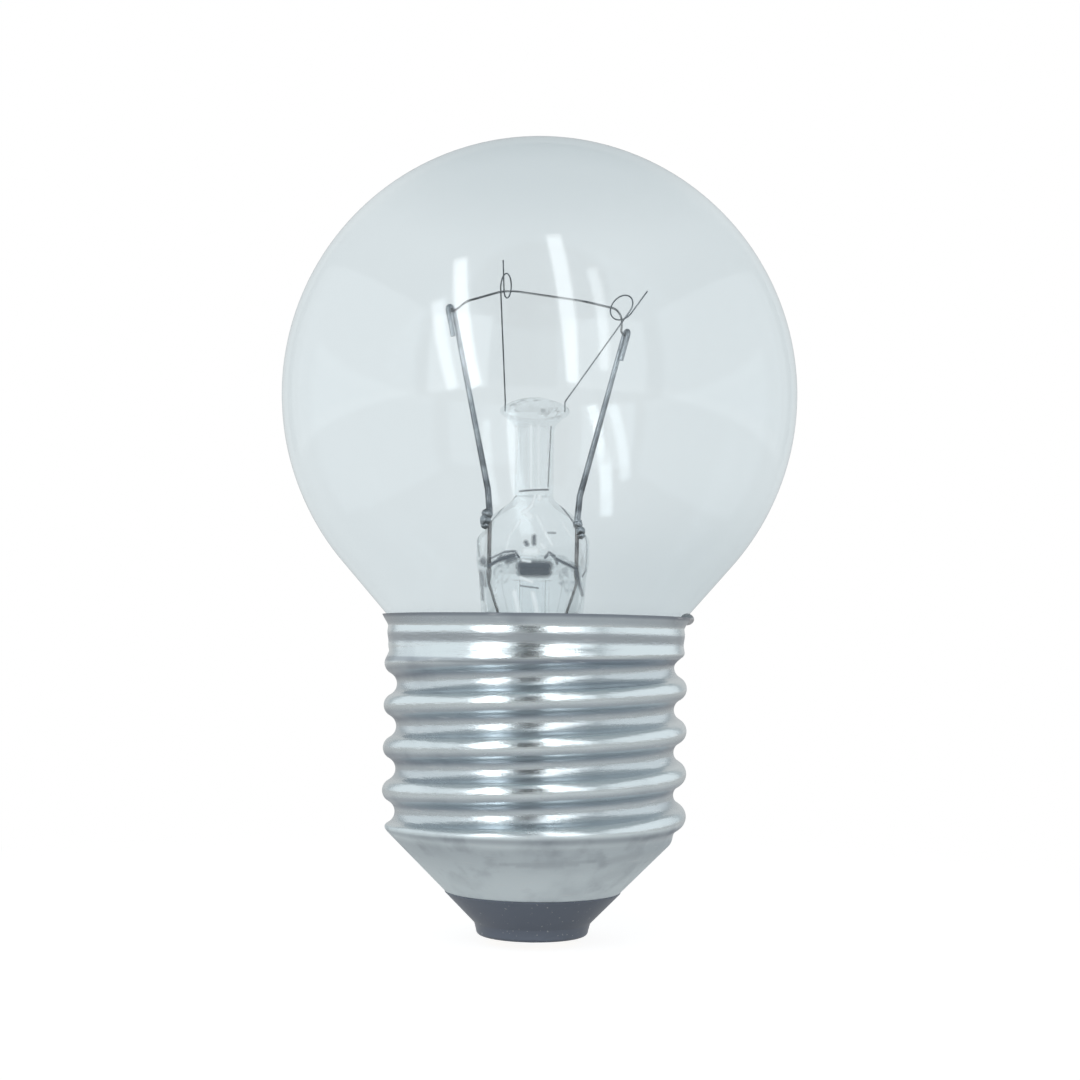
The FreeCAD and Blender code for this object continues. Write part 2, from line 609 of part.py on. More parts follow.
def make_filament():
    """The coil's plain outside, from fold to fold through both loops."""
    clear = size("lead_radius") + size("filament_radius") + 3 * size("fit_gap")
    ends, mouths = [], []
    for side, name in ((-1, "left"), (1, "right")):
        knot, elbow, top, over, leg = lead_corners(side, name)
        end = (top + over) / 2 - (top - elbow).normalize() * clear
        out = Vector(0, 0, 1).cross(over - top).normalize() * size("fold_mouth")
        ends.append(end)
        mouths.append(end + out * (1 if out.x * side < 0 else -1))
    passes = []
    for side, name, lean, shift in ((-1, "left", LEFT_LEAN, LEFT_PASS), (1, "right", RIGHT_LEAN, RIGHT_PASS)):
        foot, stub, start, along, inward, axis = support_frame(name, side, lean)
        passes.append(start + inward * size(name + "_curl_radius") + shift)
    sag = (passes[0] + passes[1] * 2) / 3 + SAG
    corners = [ends[0], mouths[0], ends[0] + LEFT_RISE, passes[0], sag, passes[1] + RIGHT_NEAR, passes[1],
               mouths[1] + RIGHT_DIP, mouths[1], ends[1]]
    return coded("filament", drawn_wire(bent_path(corners, size("filament_bend")), size("filament_radius")))


# Cap
def thread_radius_at(turn, level):
    """Crests and roots are arcs of one radius that meet halfway up each flank."""
    pitch, depth, major = size("thread_pitch"), size("thread_depth"), size("thread_radius")
    arc = ((pitch / 2) ** 2 + depth ** 2) / (4 * depth)
    crest = size("front_crest") + pitch * (turn / (2 * math.pi) + 0.25)
    away = abs((level - crest + pitch / 2) % pitch - pitch / 2)
    if away <= pitch / 4:
        return major - arc + math.sqrt(arc ** 2 - away ** 2)
    return major - depth + arc - math.sqrt(arc ** 2 - (pitch / 2 - away) ** 2)


def cap_radius_at(turn, level, inset):
    """Outside of the cap's sheet, or its inside with the sheet as inset."""
    fade = min(max((level - size("collar_foot")) / size("thread_fade") + 1, 0), 1)
    fade = fade * fade * (3 - 2 * fade)
    radius = thread_radius_at(turn, level) * (1 - fade) + size("collar_radius") * fade - inset
    turned = max(level - size("lip_foot"), 0) / (size("rim_level") - size("lip_foot"))
    radius += size("lip_reach") * turned
    cone = size("hem_radius") + level - size("hem_level") - inset * math.sqrt(2)
    blend = size("cone_blend")
    mix = max(blend - abs(radius - cone), 0) / blend
    return min(radius, cone) - mix * mix * blend / 4


def cap_skin(inset):
    """One closed surface through rings of the cap, from the hem to the rim."""
    rings = []
    for foot, top, count in (("hem_level", "lip_foot", SKIN_RINGS), ("lip_foot", "rim_level", LIP_RINGS)):
        low, high = size(foot), size(top)
        rings += [low + index * (high - low) / count for index in range(count)]
    rings.append(high)
    rows = []
    for index in range(SKIN_SIDES + 1):
        turn = 2 * math.pi * (index % SKIN_SIDES) / SKIN_SIDES
        row = []
        for level in rings:
            radius = cap_radius_at(turn, level, inset)
            row.append(Vector(radius * math.cos(turn), radius * math.sin(turn), level))
        rows.append(row)
    skin = Part.BSplineSurface()
    skin.interpolate(rows)
    skin.setUPeriodic()
    return skin.toShape()


def ring_edge(skin, level):
    """The skin's closed edge at a level."""
    return min(skin.Edges, key=lambda edge: abs(edge.BoundBox.ZMin - level) + abs(edge.BoundBox.ZMax - level))


def filled_cap(inset):
    """The cap's skin closed by flat ends."""
    skin = cap_skin(inset)
    ends = [Part.Face(Part.Wire(ring_edge(skin, size(level)))) for level in ("hem_level", "rim_level")]
    shell = Part.makeShell([skin] + ends)
    shell.sewShape()
    solid = Part.makeSolid(shell)
    if solid.Volume < 0:
        solid.reverse()
    return solid


def make_cap_shell():
    return coded("cap_shell", filled_cap(0).cut(filled_cap(size("cap_sheet"))))


def make_insulator():
    body = new_body("cap_insulator")
    under = "(hem_radius - cap_sheet * sqrt(2) - seat_gap)"
    revolve(body, "Insulator", [
        ("wire_hole", "insulator_top"),
        (f"{under} + insulator_top - hem_level", "insulator_top"),
        (under, "hem_level"),
        (under, "hem_level - fit_gap"),
        ("hem_radius", "hem_level - fit_gap"),
        ("foot_radius + corner_out", "foot_level + corner_rise"),
        ("foot_radius", "foot_level + foot_rounding", "foot_rounding", -1),
        ("foot_radius - foot_rounding", "foot_level"),
        ("plate_radius + fit_gap", "foot_level"),
        ("plate_radius + fit_gap", "foot_level + plate_thickness"),
        ("wire_hole", "foot_level + plate_thickness"),
    ])
    return body


def make_contact_plate():
    body = new_body("contact_plate")
    revolve(body, "Plate", [
        ("plate_hole", "foot_level + plate_thickness"),
        ("plate_radius", "foot_level + plate_thickness"),
        ("plate_radius", "foot_level"),
        ("plate_hole", "foot_level"),
    ])
    return body


def make_centre_solder():
    body = new_body("centre_solder")
    dome = "((solder_radius ^ 2 + foot_level ^ 2) / (2 * foot_level))"
    revolve(body, "Dome", [
        ("0", "foot_level + plate_thickness + solder_plug"),
        ("plate_hole - fit_gap", "foot_level + plate_thickness + solder_plug"),
        ("plate_hole - fit_gap", "foot_level - fit_gap"),
        ("solder_radius", "foot_level - fit_gap", dome, -1),
        ("0", "0"),
    ])
    return body


def cut_from(label, base, tools):
    """The base less each tool in turn."""
    for index, tool in enumerate(tools):
        cut = DOC.addObject("Part::Cut", f"{label}_cut_{index}")
        cut.Base = base
        cut.Tool = tool
        base = cut
    base.Label = label
    DOC.recompute()
    return base


def make_cement(blank, side_lead):
    ring = DOC.addObject("Part::Cylinder", "cement_blank")
    ring.setExpression("Radius", bound("collar_radius - cap_sheet - fit_gap"))
    ring.setExpression("Height", bound("cement_top - cement_foot"))
    place(ring, "0", "0", "cement_foot")
    return cut_from("capping_cement", ring, [blank, side_lead])


def make_rim_blank():
    """The collar's lip with room round it, which the side solder lies on."""
    body = new_body("rim_blank")
    room = "seat_gap"
    revolve(body, "Rim", [
        (f"collar_radius - cap_sheet - {room}", "lip_foot - side_blob"),
        (f"collar_radius + {room}", "lip_foot - side_blob"),
        (f"collar_radius + {room}", "lip_foot"),
        (f"collar_radius + lip_reach + {room}", f"rim_level + {room}"),
        (f"collar_radius + lip_reach - cap_sheet - {room}", f"rim_level + {room}"),
        (f"collar_radius - cap_sheet - {room}", "lip_foot"),
    ])
    return body


def make_side_solder(blank, rim, side_lead):
    drop = DOC.addObject("Part::Sphere", "side_drop")
    drop.setExpression("Radius", bound("side_blob"))
    place(drop, "collar_radius + lip_reach / 2", "0", "rim_level - side_blob / 4")
    return cut_from("side_solder", drop, [blank, rim, side_lead])


globe = make_globe()
blank = make_globe_blank()
stem = make_stem()
leads = [make_lead(-1, "left"), make_lead(1, "right")]
seal_wires = [make_seal_wire(-1, "left"), make_seal_wire(1, "right")]
centre_lead = make_outer_lead(-1, "outer_lead_centre", [
    off_axis(-1, "seal_spread - lead_inset", "0", "joint_level - 3 * joint_length"),
    off_axis(-1, "seal_spread - lead_inset", "0", "exhaust_tip + exhaust_taper"),
    point("0", "0", "insulator_top + lead_drop"),
    point("0", "0", "foot_level + plate_thickness + solder_plug"),
])
neck_gap = "(neck_radius + (thread_radius - thread_depth - cap_sheet - neck_radius) / 2)"
side_lead = make_outer_lead(1, "outer_lead_side", [
    off_axis(1, "seal_spread - lead_inset", "0", "joint_level - 3 * joint_length"),
    off_axis(1, "seal_spread - lead_inset", "0", "seal_level - lead_under"),
    point(neck_gap, "0", "seal_level - lead_under"),
    point(neck_gap, "0", "cement_foot - knot_radius * 2"),
    point("collar_radius - cap_sheet - 3 * fit_gap", "0", "lip_foot + lead_over"),
])
shell = make_cap_shell()
cement = make_cement(blank, side_lead)
pieces = [
    globe, stem, make_exhaust_tube(), make_rod(), *leads, *seal_wires, centre_lead, side_lead,
    make_support("left", -1, LEFT_LEAN),
    make_support("right", 1, RIGHT_LEAN),
    make_filament(), shell, make_insulator(), make_contact_plate(), make_centre_solder(), cement,
    make_side_solder(blank, make_rim_blank(), side_lead),
]
DOC.recompute()

for item in DOC.Objects:
    if "Invalid" in item.State or "Error" in item.State:
        raise RuntimeError(f"{item.Label} failed: {item.State}")

os.makedirs("parts", exist_ok=True)
for piece in pieces:
    if piece.Shape.isNull() or not piece.Shape.isValid():
        raise RuntimeError(piece.Label + " has no valid shape")
    solids = piece.Shape.Solids
    print(f"{piece.Label:20s} solids {len(solids)} volume {piece.Shape.Volume:.3f}")
for piece in pieces:
    piece.Shape.exportStep(f"parts/{piece.Label}.step")
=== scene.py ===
import math

import bmesh
import bpy
from mathutils import Matrix, Vector
from mathutils.noise import fractal


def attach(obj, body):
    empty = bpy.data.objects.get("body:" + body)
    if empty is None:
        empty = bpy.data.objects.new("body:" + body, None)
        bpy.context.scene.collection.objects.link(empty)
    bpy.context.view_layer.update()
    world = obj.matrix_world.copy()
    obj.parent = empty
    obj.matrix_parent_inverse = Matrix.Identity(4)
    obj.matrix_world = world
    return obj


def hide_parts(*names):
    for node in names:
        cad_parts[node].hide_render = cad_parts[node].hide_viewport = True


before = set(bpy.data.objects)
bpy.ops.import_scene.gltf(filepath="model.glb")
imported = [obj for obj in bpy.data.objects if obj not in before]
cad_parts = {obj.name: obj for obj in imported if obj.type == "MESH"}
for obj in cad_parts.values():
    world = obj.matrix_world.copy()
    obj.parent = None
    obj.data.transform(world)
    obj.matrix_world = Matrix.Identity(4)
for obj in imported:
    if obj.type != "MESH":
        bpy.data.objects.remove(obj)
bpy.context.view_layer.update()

# Clear glass ball lamp with a filament and a rolled screw cap
# Metres throughout. The axis is Z, and the origin is the tip of the centre contact.

MM = 0.001

# Glass: sizes in millimetres
GLOBE_RADIUS = 22.3
GLOBE_CENTRE = 47.0
GLASS_WALL = 0.5
SHOULDER_ANGLE = math.radians(41)
NECK_RADIUS = 11.3
NECK_BLEND = 3.5
SEAL_LEVEL = 18.0
STEM_RADIUS = 4.35
STEM_WALL = 0.6
STEM_BORE = STEM_RADIUS - STEM_WALL
STEM_POWER = 2.1
ROUND_TOP = 27
PRESS_FOOT = 31
MOUNT_SHIFT = -0.38
ROD_RADIUS = 1.68
ROD_FOOT = 38.35
BUTTON_EDGE = 45.7
TUBE_RADIUS = 1.75
TUBE_BORE = 1.15

# Cap: sizes in millimetres
THREAD_RADIUS = 13.05
THREAD_DEPTH = 1.1
THREAD_PITCH = 3.629
FRONT_CREST = 20.97
CAP_SHEET = 0.25
COLLAR_RADIUS = 12.8
COLLAR_FOOT = 25.4
THREAD_FADE = 1.7
COLLAR_BEAD = 26.4
BEAD_PITCH = 1.75
BEAD_DEPTH = 0.05
LIP_FOOT = 26.9
LIP_REACH = 0.52
RIM_LEVEL = 27.9
HEM_RADIUS = 7.58
HEM_LEVEL = 4.45
CONE_BLEND = 0.5
CAP_SIDES = 220
CAP_RINGS = 170

# Widths and depths of the pressed stem and of its hollow: (level, half size) in millimetres
PRESS_TOP = ROD_FOOT - 0.02
PRESS_WIDTHS = [(ROUND_TOP, STEM_RADIUS), (PRESS_FOOT, 4.62), (32.7, 4.9), (34.4, 4.9), (36.2, 3.75),
                (PRESS_TOP, 1.7)]
PRESS_DEPTHS = [(PRESS_FOOT, STEM_RADIUS), (34.3, 1.95), (36.2, 1.85), (PRESS_TOP, ROD_RADIUS)]
HOLLOW_ROOF = 33.2
HOLLOW_WIDTHS = [(ROUND_TOP, STEM_BORE), (PRESS_FOOT, STEM_BORE + 0.38), (32.1, STEM_BORE + 0.55),
                 (HOLLOW_ROOF, 2.9)]
HOLLOW_DEPTHS = [(PRESS_FOOT, STEM_BORE), (HOLLOW_ROOF, 0.9)]

# Wires: corners of their routes in millimetres
LEAD_RADIUS = 0.29
LEAD_TIP = 0.7
SEAL_RADIUS = 0.18
SEAL_FOOT = 31.9
OUTER_RADIUS = 0.12
SUPPORT_RADIUS = 0.065
LOOP_PITCH = 0.3
LOOP_TAIL = 2.4
COIL_RADIUS = 0.08
COIL_PITCH = 0.062
COIL_WIRE = 0.02
WELD_TOP = 36.8
LEFT_LEAD = [(-4.18, 0, 36.6), (-4.38, 0, 38.85), (-7.72, 0, 54.9), (-8.176, -0.729, 54.9),
             (-7.616, -0.729, 52.208)]
RIGHT_LEAD = [(3.42, 0, 36.1), (3.62, 0, 38.35), (7.42, 0, 52.92), (7.742, -0.797, 52.92),
              (7.048, -0.797, 50.259)]
CENTRE_LEAD = [(-4.18, 0, SEAL_FOOT), (-4.18, 0, 30.7), (-3.38, 0, 28.3), (-3.38, 0, 15.6), (0, 0, 9.5),
               (0, 0, 1.45)]
SIDE_LEAD = [(3.42, 0, SEAL_FOOT), (3.42, 0, 30.7), (2.62, 0, 28.3), (2.62, 0, 15.0), (11.5, 0, 15.0),
             (11.5, 0, 24.56), (12.52, 0, 27.2)]
FILAMENT = [(-7.86, -0.365, 54.479), (-7.436, -0.63, 54.479), (-6.56, -1.065, 55.199),
            (-2.941, -3.807, 55.694), (3.741, -2.555, 55.057), (6.282, -1.13, 54.788),
            (7.082, -0.58, 54.588), (7.109, -0.536, 53.404), (7.009, -0.586, 52.504),
            (7.473, -0.399, 52.504)]

# Seal wires: side and top. Supports: foot, top of the stub, start of the loop, way to its middle, radius
SEAL_WIRES = {"left": (-4.18, 36.2), "right": (3.42, 35.7)}
SUPPORTS = {
    "left": ((-2.98, -0.5, 45.7), (-2.98, -0.5, 46.6), (-3.3, -4.4, 55.73), (0.33, 0.94, 0), 1.04),
    "right": ((2.22, -0.5, 45.7), (2.22, -0.5, 46.6), (7.8, -1.2, 54.41), (-0.675, 0.62, 0.4), 1.17),
}

# Melted beads of the welds: middle and radius
LEFT_KNOT = [((-4.38, 0, 36.75), 0.48), ((-4.58, -0.05, 36.2), 0.48), ((-4.6, -0.05, 35.75), 0.33)]
RIGHT_KNOT = [((3.52, 0, 35.95), 0.42), ((3.7, -0.05, 35.4), 0.42), ((3.78, -0.05, 34.95), 0.3)]

# Soft lines seen from the front: two ends across and up, half width, and strength. Shade lines and cone marks
# are painted shade; glints are painted highlights that glow.
ROD_SHADE_LINES = [(1.03, 44.32, 0.85, 39.12, 0.06, 0.65), (-1.57, 38.65, 0.85, 38.82, 0.08, 0.85)]
ROD_GLINTS = [
    (-2.0, 44.23, -2.0, 42.41, 0.17, 0.95), (-2.0, 42.41, -1.95, 40.33, 0.14, 0.5),
    (-0.7, 44.32, -0.62, 38.95, 0.13, 0.8), (-0.05, 44.32, 0.03, 38.95, 0.13, 0.45),
]
PRESS_SHADE_LINES = [
    (-1.91, 38.26, -2.85, 37.48, 0.06, 0.6), (-2.85, 37.48, -3.96, 36.09, 0.06, 0.5),
    (1.73, 37.82, 3.14, 36.0, 0.08, 0.7), (-4.66, 36.87, -5.15, 35.66, 0.1, 0.4),
    (-5.15, 35.66, -5.2, 34.36, 0.12, 0.45), (-5.2, 34.36, -5.0, 32.97, 0.1, 0.4),
    (3.92, 35.92, 4.3, 34.1, 0.06, 0.35), (4.3, 34.1, 4.2, 31.76, 0.07, 0.4),
    (-4.69, 32.54, -4.6, 32.45, 0.34, 0.75), (-4.82, 31.5, -4.64, 30.5, 0.3, 0.6),
    (-4.7, 30.6, -4.64, 29.3, 0.16, 0.55), (-3.91, 32.8, -2.8, 33.32, 0.1, 0.7),
    (-2.8, 33.32, -1.93, 33.41, 0.11, 0.8), (-1.93, 33.41, -1.58, 32.89, 0.1, 0.8),
    (-4.16, 32.11, -3.22, 32.71, 0.13, 0.85), (-3.22, 32.71, -2.01, 33.06, 0.2, 0.9),
    (-2.52, 32.54, -1.92, 32.8, 0.26, 0.6), (0.67, 32.89, 1.01, 33.32, 0.1, 0.7),
    (1.01, 33.32, 1.45, 33.06, 0.12, 0.8), (1.45, 33.06, 1.72, 32.37, 0.1, 0.6),
    (1.63, 32.8, 2.5, 32.37, 0.12, 0.8), (2.5, 32.37, 3.37, 31.94, 0.12, 0.85),
    (0.9, 35.05, 1.51, 35.05, 0.1, 0.6), (-0.3, 34.71, -0.3, 34.1, 0.2, 0.8),
    (-0.99, 34.19, -0.9, 34.01, 0.2, 0.8), (-1.37, 30.38, 0.11, 30.2, 0.07, 0.45),
    (3.37, 31.76, 3.92, 29.77, 0.15, 0.65), (3.9, 31.33, 4.2, 31.94, 0.09, 0.6),
    (-1.3, 32.1, 0.85, 32.1, 0.42, 0.9), (-1.2, 31.6, 0.75, 31.6, 0.42, 0.9),
]
# Painted shade: dark marks on the front of the cone, where the thread runs out into it
CONE_SHADE_MARKS = [
    (0.2, 7.86, 2.3, 7.9, 0.36, 0.4), (-1.2, 7.8, 3.5, 7.95, 0.22, 0.35), (-2.6, 7.85, 5.0, 8.15, 0.14, 0.3),
    (5.6, 7.9, 8.8, 8.6, 0.3, 0.25), (5.0, 6.2, 7.4, 6.9, 0.5, 0.2), (-6.5, 6.2, -4.6, 5.7, 0.45, 0.15),
]
# Painted highlights on the press, which glow
GLINTS = [
    (0.07, 38.6, 0.13, 38.0, 0.18, 0.9), (-0.27, 38.26, -0.51, 37.39, 0.12, 0.8),
    (-0.51, 37.39, -1.11, 36.78, 0.15, 0.9), (-1.11, 36.78, -0.67, 36.44, 0.26, 0.9),
    (-1.53, 36.0, -2.47, 34.71, 0.11, 0.6), (-2.47, 34.71, -2.63, 33.67, 0.11, 0.6),
    (-0.07, 36.52, 0.64, 35.05, 0.1, 0.6), (0.64, 35.05, 1.26, 34.01, 0.15, 0.8),
    (2.19, 35.83, 3.16, 34.36, 0.1, 0.5), (-1.88, 29.86, -1.52, 28.2, 0.18, 0.6),
    (-0.32, 29.77, 0.04, 28.2, 0.18, 0.6), (-1.23, 32.6, -0.62, 32.5, 0.12, 0.8),
    (-1.38, 31.07, -0.42, 30.72, 0.13, 0.7), (0.31, 34.01, 0.58, 33.75, 0.18, 0.7),
    (-1.0, 33.4, -0.15, 33.4, 0.32, 0.9),
]

# Darker mottled patches: middle across and up, half width, and half height
PRESS_MOTTLES = [(-3.0, 31.6, 0.72, 1.0), (2.8, 31.2, 1.0, 1.25)]
BUTTON_MOTTLES = [(-0.38, 45.9, 2.9, 1.1)]

# Painted shade in dark bands round the collar: the levels where each begins, is full, starts to end, and ends
COLLAR_SHADE_BANDS = [(25.35, 25.7, 26.2, 26.5), (23.8, 24.0, 24.2, 24.4)]

# Camera: place in metres, lens in millimetres, tilt and roll in radians
CAMERA_PLACE = (0.000214, -0.150, 0.024815)
CAMERA_LENS = 57.6
CAMERA_TILT = math.atan(112 / 1728)
CAMERA_ROLL = 0.014

# Tall windows that run up and over the lamp, and the room's pale walls: lower and upper end, width, power
LIGHTS = {
    "left_window": ((-0.25, -0.51, 0.01), (-0.276, -0.261, 0.482), 0.05, 0.34),
    "right_window": ((0.138, -0.564, 0.027), (0.038, -0.256, 0.563), 0.05, 0.34),
    "left_window_far": ((-0.334, -0.455, 0.01), (-0.371, -0.329, 0.345), 0.05, 0.15),
    "right_window_far": ((0.262, -0.518, 0.086), (0.182, -0.355, 0.466), 0.04, 0.11),
    "left_panel": ((-0.36, -0.52, 0.0), (-0.36, -0.52, 0.36), 0.3, 0.35),
    "right_panel": ((0.32, -0.58, 0.0), (0.32, -0.58, 0.36), 0.4, 0.29),
    "left_wall": ((-0.5, 0.05, 0.0), (-0.5, 0.05, 0.4), 0.9, 0.52),
    "right_wall": ((0.5, 0.05, 0.0), (0.5, 0.05, 0.4), 0.9, 0.52),
}


# Node trees
class Value:
    """A socket of a node tree. Python's operators on it add Math nodes."""

    def __init__(self, tree, socket):
        self.tree = tree
        self.socket = socket

    def node(self, kind, inputs=None, out=0, **settings):
        """Adds any node: its settings first, then the values or links of its sockets."""
        made = self.tree.nodes.new(kind)
        for name, setting in settings.items():
            setattr(made, name, setting)
        for name, value in (inputs or {}).items():
            if isinstance(value, Value):
                self.tree.links.new(value.socket, made.inputs[name])
            else:
                made.inputs[name].default_value = value
        return Value(self.tree, made.outputs[out])

    def other(self, out):
        """Another output of the same node."""
        return Value(self.tree, self.socket.node.outputs[out])

    def maths(self, operation, *terms):
        return self.node("ShaderNodeMath", dict(enumerate(terms)), operation=operation)

    def __add__(self, other):
        return self.maths("ADD", self, other)

    def __sub__(self, other):
        return self.maths("SUBTRACT", self, other)

    def __rsub__(self, other):
        return self.maths("SUBTRACT", other, self)

    def __mul__(self, other):
        return self.maths("MULTIPLY", self, other)

    def __truediv__(self, other):
        return self.maths("DIVIDE", self, other)

    def __rtruediv__(self, other):
        return self.maths("DIVIDE", other, self)

    def __pow__(self, other):
        return self.maths("POWER", self, other)

    def __gt__(self, other):
        return self.maths("GREATER_THAN", self, other)

    def __lt__(self, other):
        return self.maths("LESS_THAN", self, other)

    __radd__ = __add__
    __rmul__ = __mul__

    def low(self, other):
        return self.maths("MINIMUM", self, other)

    def high(self, other):
        return self.maths("MAXIMUM", self, other)

    def root(self):
        return self.maths("SQRT", self)

    def size(self):
        return self.maths("ABSOLUTE", self)

    def wrap(self, span):
        return self.maths("FLOORED_MODULO", self, span)

    def choose(self, yes, no):
        """yes where this value is 1, no where it is 0."""
        return self * yes + (1 - self) * no

    def smooth(self, start, end):
        """0 before start, 1 after end, and an eased step between them."""
        return self.node("ShaderNodeMapRange", {"Value": self, "From Min": start, "From Max": end},
                         interpolation_type="SMOOTHSTEP")


def thread_radius(turn, level):
    """Crests and roots are arcs of one radius that meet halfway up each flank."""
    arc = ((THREAD_PITCH / 2) ** 2 + THREAD_DEPTH ** 2) / (4 * THREAD_DEPTH)
    crest = turn * (THREAD_PITCH / (2 * math.pi)) + (FRONT_CREST + THREAD_PITCH / 4)
    away = ((level - crest + THREAD_PITCH / 2).wrap(THREAD_PITCH) - THREAD_PITCH / 2).size()
    on_crest = away < THREAD_PITCH / 4
    crest_arc = (arc ** 2 - away * away).high(0).root() + (THREAD_RADIUS - arc)
    inner = THREAD_PITCH / 2 - away
    root_arc = (THREAD_RADIUS - THREAD_DEPTH + arc) - (arc ** 2 - inner * inner).high(0).root()
    return on_crest.choose(crest_arc, root_arc)


# Materials
def new_material(name):
    """A material, the start of its node maths, and the object's own coordinates."""
    material = bpy.data.materials.new(name)
    material.use_nodes = True
    tree = material.node_tree
    tree.nodes.clear()
    start = Value(tree, None)
    return material, start, start.node("ShaderNodeTexCoord", out="Object")


def finished(material, shader):
    """The material, with this shader on its surface."""
    output = material.node_tree.nodes.new("ShaderNodeOutputMaterial")
    material.node_tree.links.new(shader.socket, output.inputs["Surface"])
    return material


def noise(place, scale, detail=3.0, stretch=None):
    """Noise at a number of lumps per metre, with its place scaled along each axis where it is stretched."""
    if stretch:
        place = place.node("ShaderNodeMapping", {"Vector": place, "Scale": stretch})
    return place.node("ShaderNodeTexNoise", {"Vector": place, "Scale": scale, "Detail": detail})


def blend(start, factor, first, second):
    """A colour between two others."""
    return start.node("ShaderNodeMix", {0: factor, 6: first, 7: second}, out=2, data_type="RGBA")


def bump(start, height, depth, strength=1.0):
    return start.node("ShaderNodeBump", {"Height": height, "Distance": depth, "Strength": strength})


def split(vector):
    """The three numbers of a vector."""
    apart = vector.node("ShaderNodeSeparateXYZ", {0: vector})
    return [apart.other(axis) for axis in range(3)]


def blown_glass():
    """Thin clear glass with the gloss of both faces. Its outside is tinted, with painted shade that makes it
    greyer at the edges, at the top, at the bottom and towards the right.
    """
    material, start, place = new_material("blown_glass")
    waves = bump(start, noise(place, 90.0, 1.0), 0.00025, 0.35)
    facing = start.node("ShaderNodeLayerWeight", {"Blend": 0.5, "Normal": waves}, out="Facing")
    middle = start.node("ShaderNodeVectorMath", {0: place, 1: (0, 0, GLOBE_CENTRE * MM)},
                        operation="SUBTRACT")
    x, y, z = split(middle)
    ball = start.node("ShaderNodeVectorMath", {0: middle}, out="Value", operation="LENGTH")
    taper = (x * x + y * y).root() * math.cos(SHOULDER_ANGLE) - z * math.sin(SHOULDER_ANGLE)
    below = z < -GLOBE_RADIUS * math.sin(SHOULDER_ANGLE) * MM
    outside = below.choose(taper, ball) > (GLOBE_RADIUS - GLASS_WALL / 2) * MM
    edge = outside * facing ** 9 * 0.5 + 0.042
    dust = noise(place, 2600.0, 2.0).smooth(0.7, 0.8)
    # Painted shade: the outside's tint turns greyer at the top, at the bottom, towards the right and at the
    # edges.
    top = (z / MM).smooth(15.5, 22.5) * 0.68
    low = (1 - (z / MM).smooth(-17.0, -6.0)) * ((x / MM).smooth(-5.0, 8.0) * 0.26 + 0.12)
    right = (x / MM).smooth(4.0, 14.0) * 0.1
    painted_shade = (top + low + right + facing.smooth(0.92, 1.0) * 0.4).low(1)
    bare, pale, shaded_tint = [start.node("ShaderNodeBsdfTransparent", {"Color": colour})
                        for colour in ((1, 1, 1, 1), (0.87, 0.909, 0.922, 1), (0.69, 0.74, 0.76, 1))]
    tint = start.node("ShaderNodeMixShader", {0: painted_shade, 1: pale, 2: shaded_tint})
    clear = start.node("ShaderNodeMixShader", {0: outside, 1: bare, 2: tint})
    gloss = start.node("ShaderNodeBsdfPrincipled", {
        "Base Color": (0.95, 0.98, 1.0, 1), "Metallic": 1.0, "Roughness": 0.075, "Normal": waves})
    shader = start.node("ShaderNodeMixShader", {0: edge + dust * 0.02, 1: clear, 2: gloss})
    return finished(material, shader)


def strokes(place, rows):
    """How strongly a place, in millimetres, lies on any of some soft lines."""
    most = None
    for across, up, last_across, last_up, half, strength in rows:
        first = Vector((across, 0, up))
        run = Vector((last_across, 0, last_up)) - first
        away = place.node("ShaderNodeVectorMath", {0: place, 1: first}, operation="SUBTRACT")
        along = place.node("ShaderNodeVectorMath", {0: away, 1: run.normalized()}, out="Value",
                           operation="DOT_PRODUCT")
        along = along.node("ShaderNodeClamp", {"Value": along, "Min": 0.0, "Max": run.length})
        near = along.node("ShaderNodeVectorMath", {0: run.normalized(), "Scale": along}, operation="SCALE")
        gap = along.node("ShaderNodeVectorMath", {0: away, 1: near}, out="Value", operation="DISTANCE")
        line = gap.node("ShaderNodeMapRange", {"Value": gap, "From Min": half * 0.35, "From Max": half * 1.5,
                                               "To Min": strength, "To Max": 0.0})
        most = line.high(most) if most else line
    return most


def tube_glass():
    """Thin drawn glass that bends little of what is behind it."""
    material, start = new_material("drawn_glass")[:2]
    glass = start.node("ShaderNodeBsdfPrincipled", {
        "Base Color": (0.97, 0.98, 0.985, 1), "Roughness": 0.0, "IOR": 1.06, "Transmission Weight": 1.0})
    return finished(material, glass)


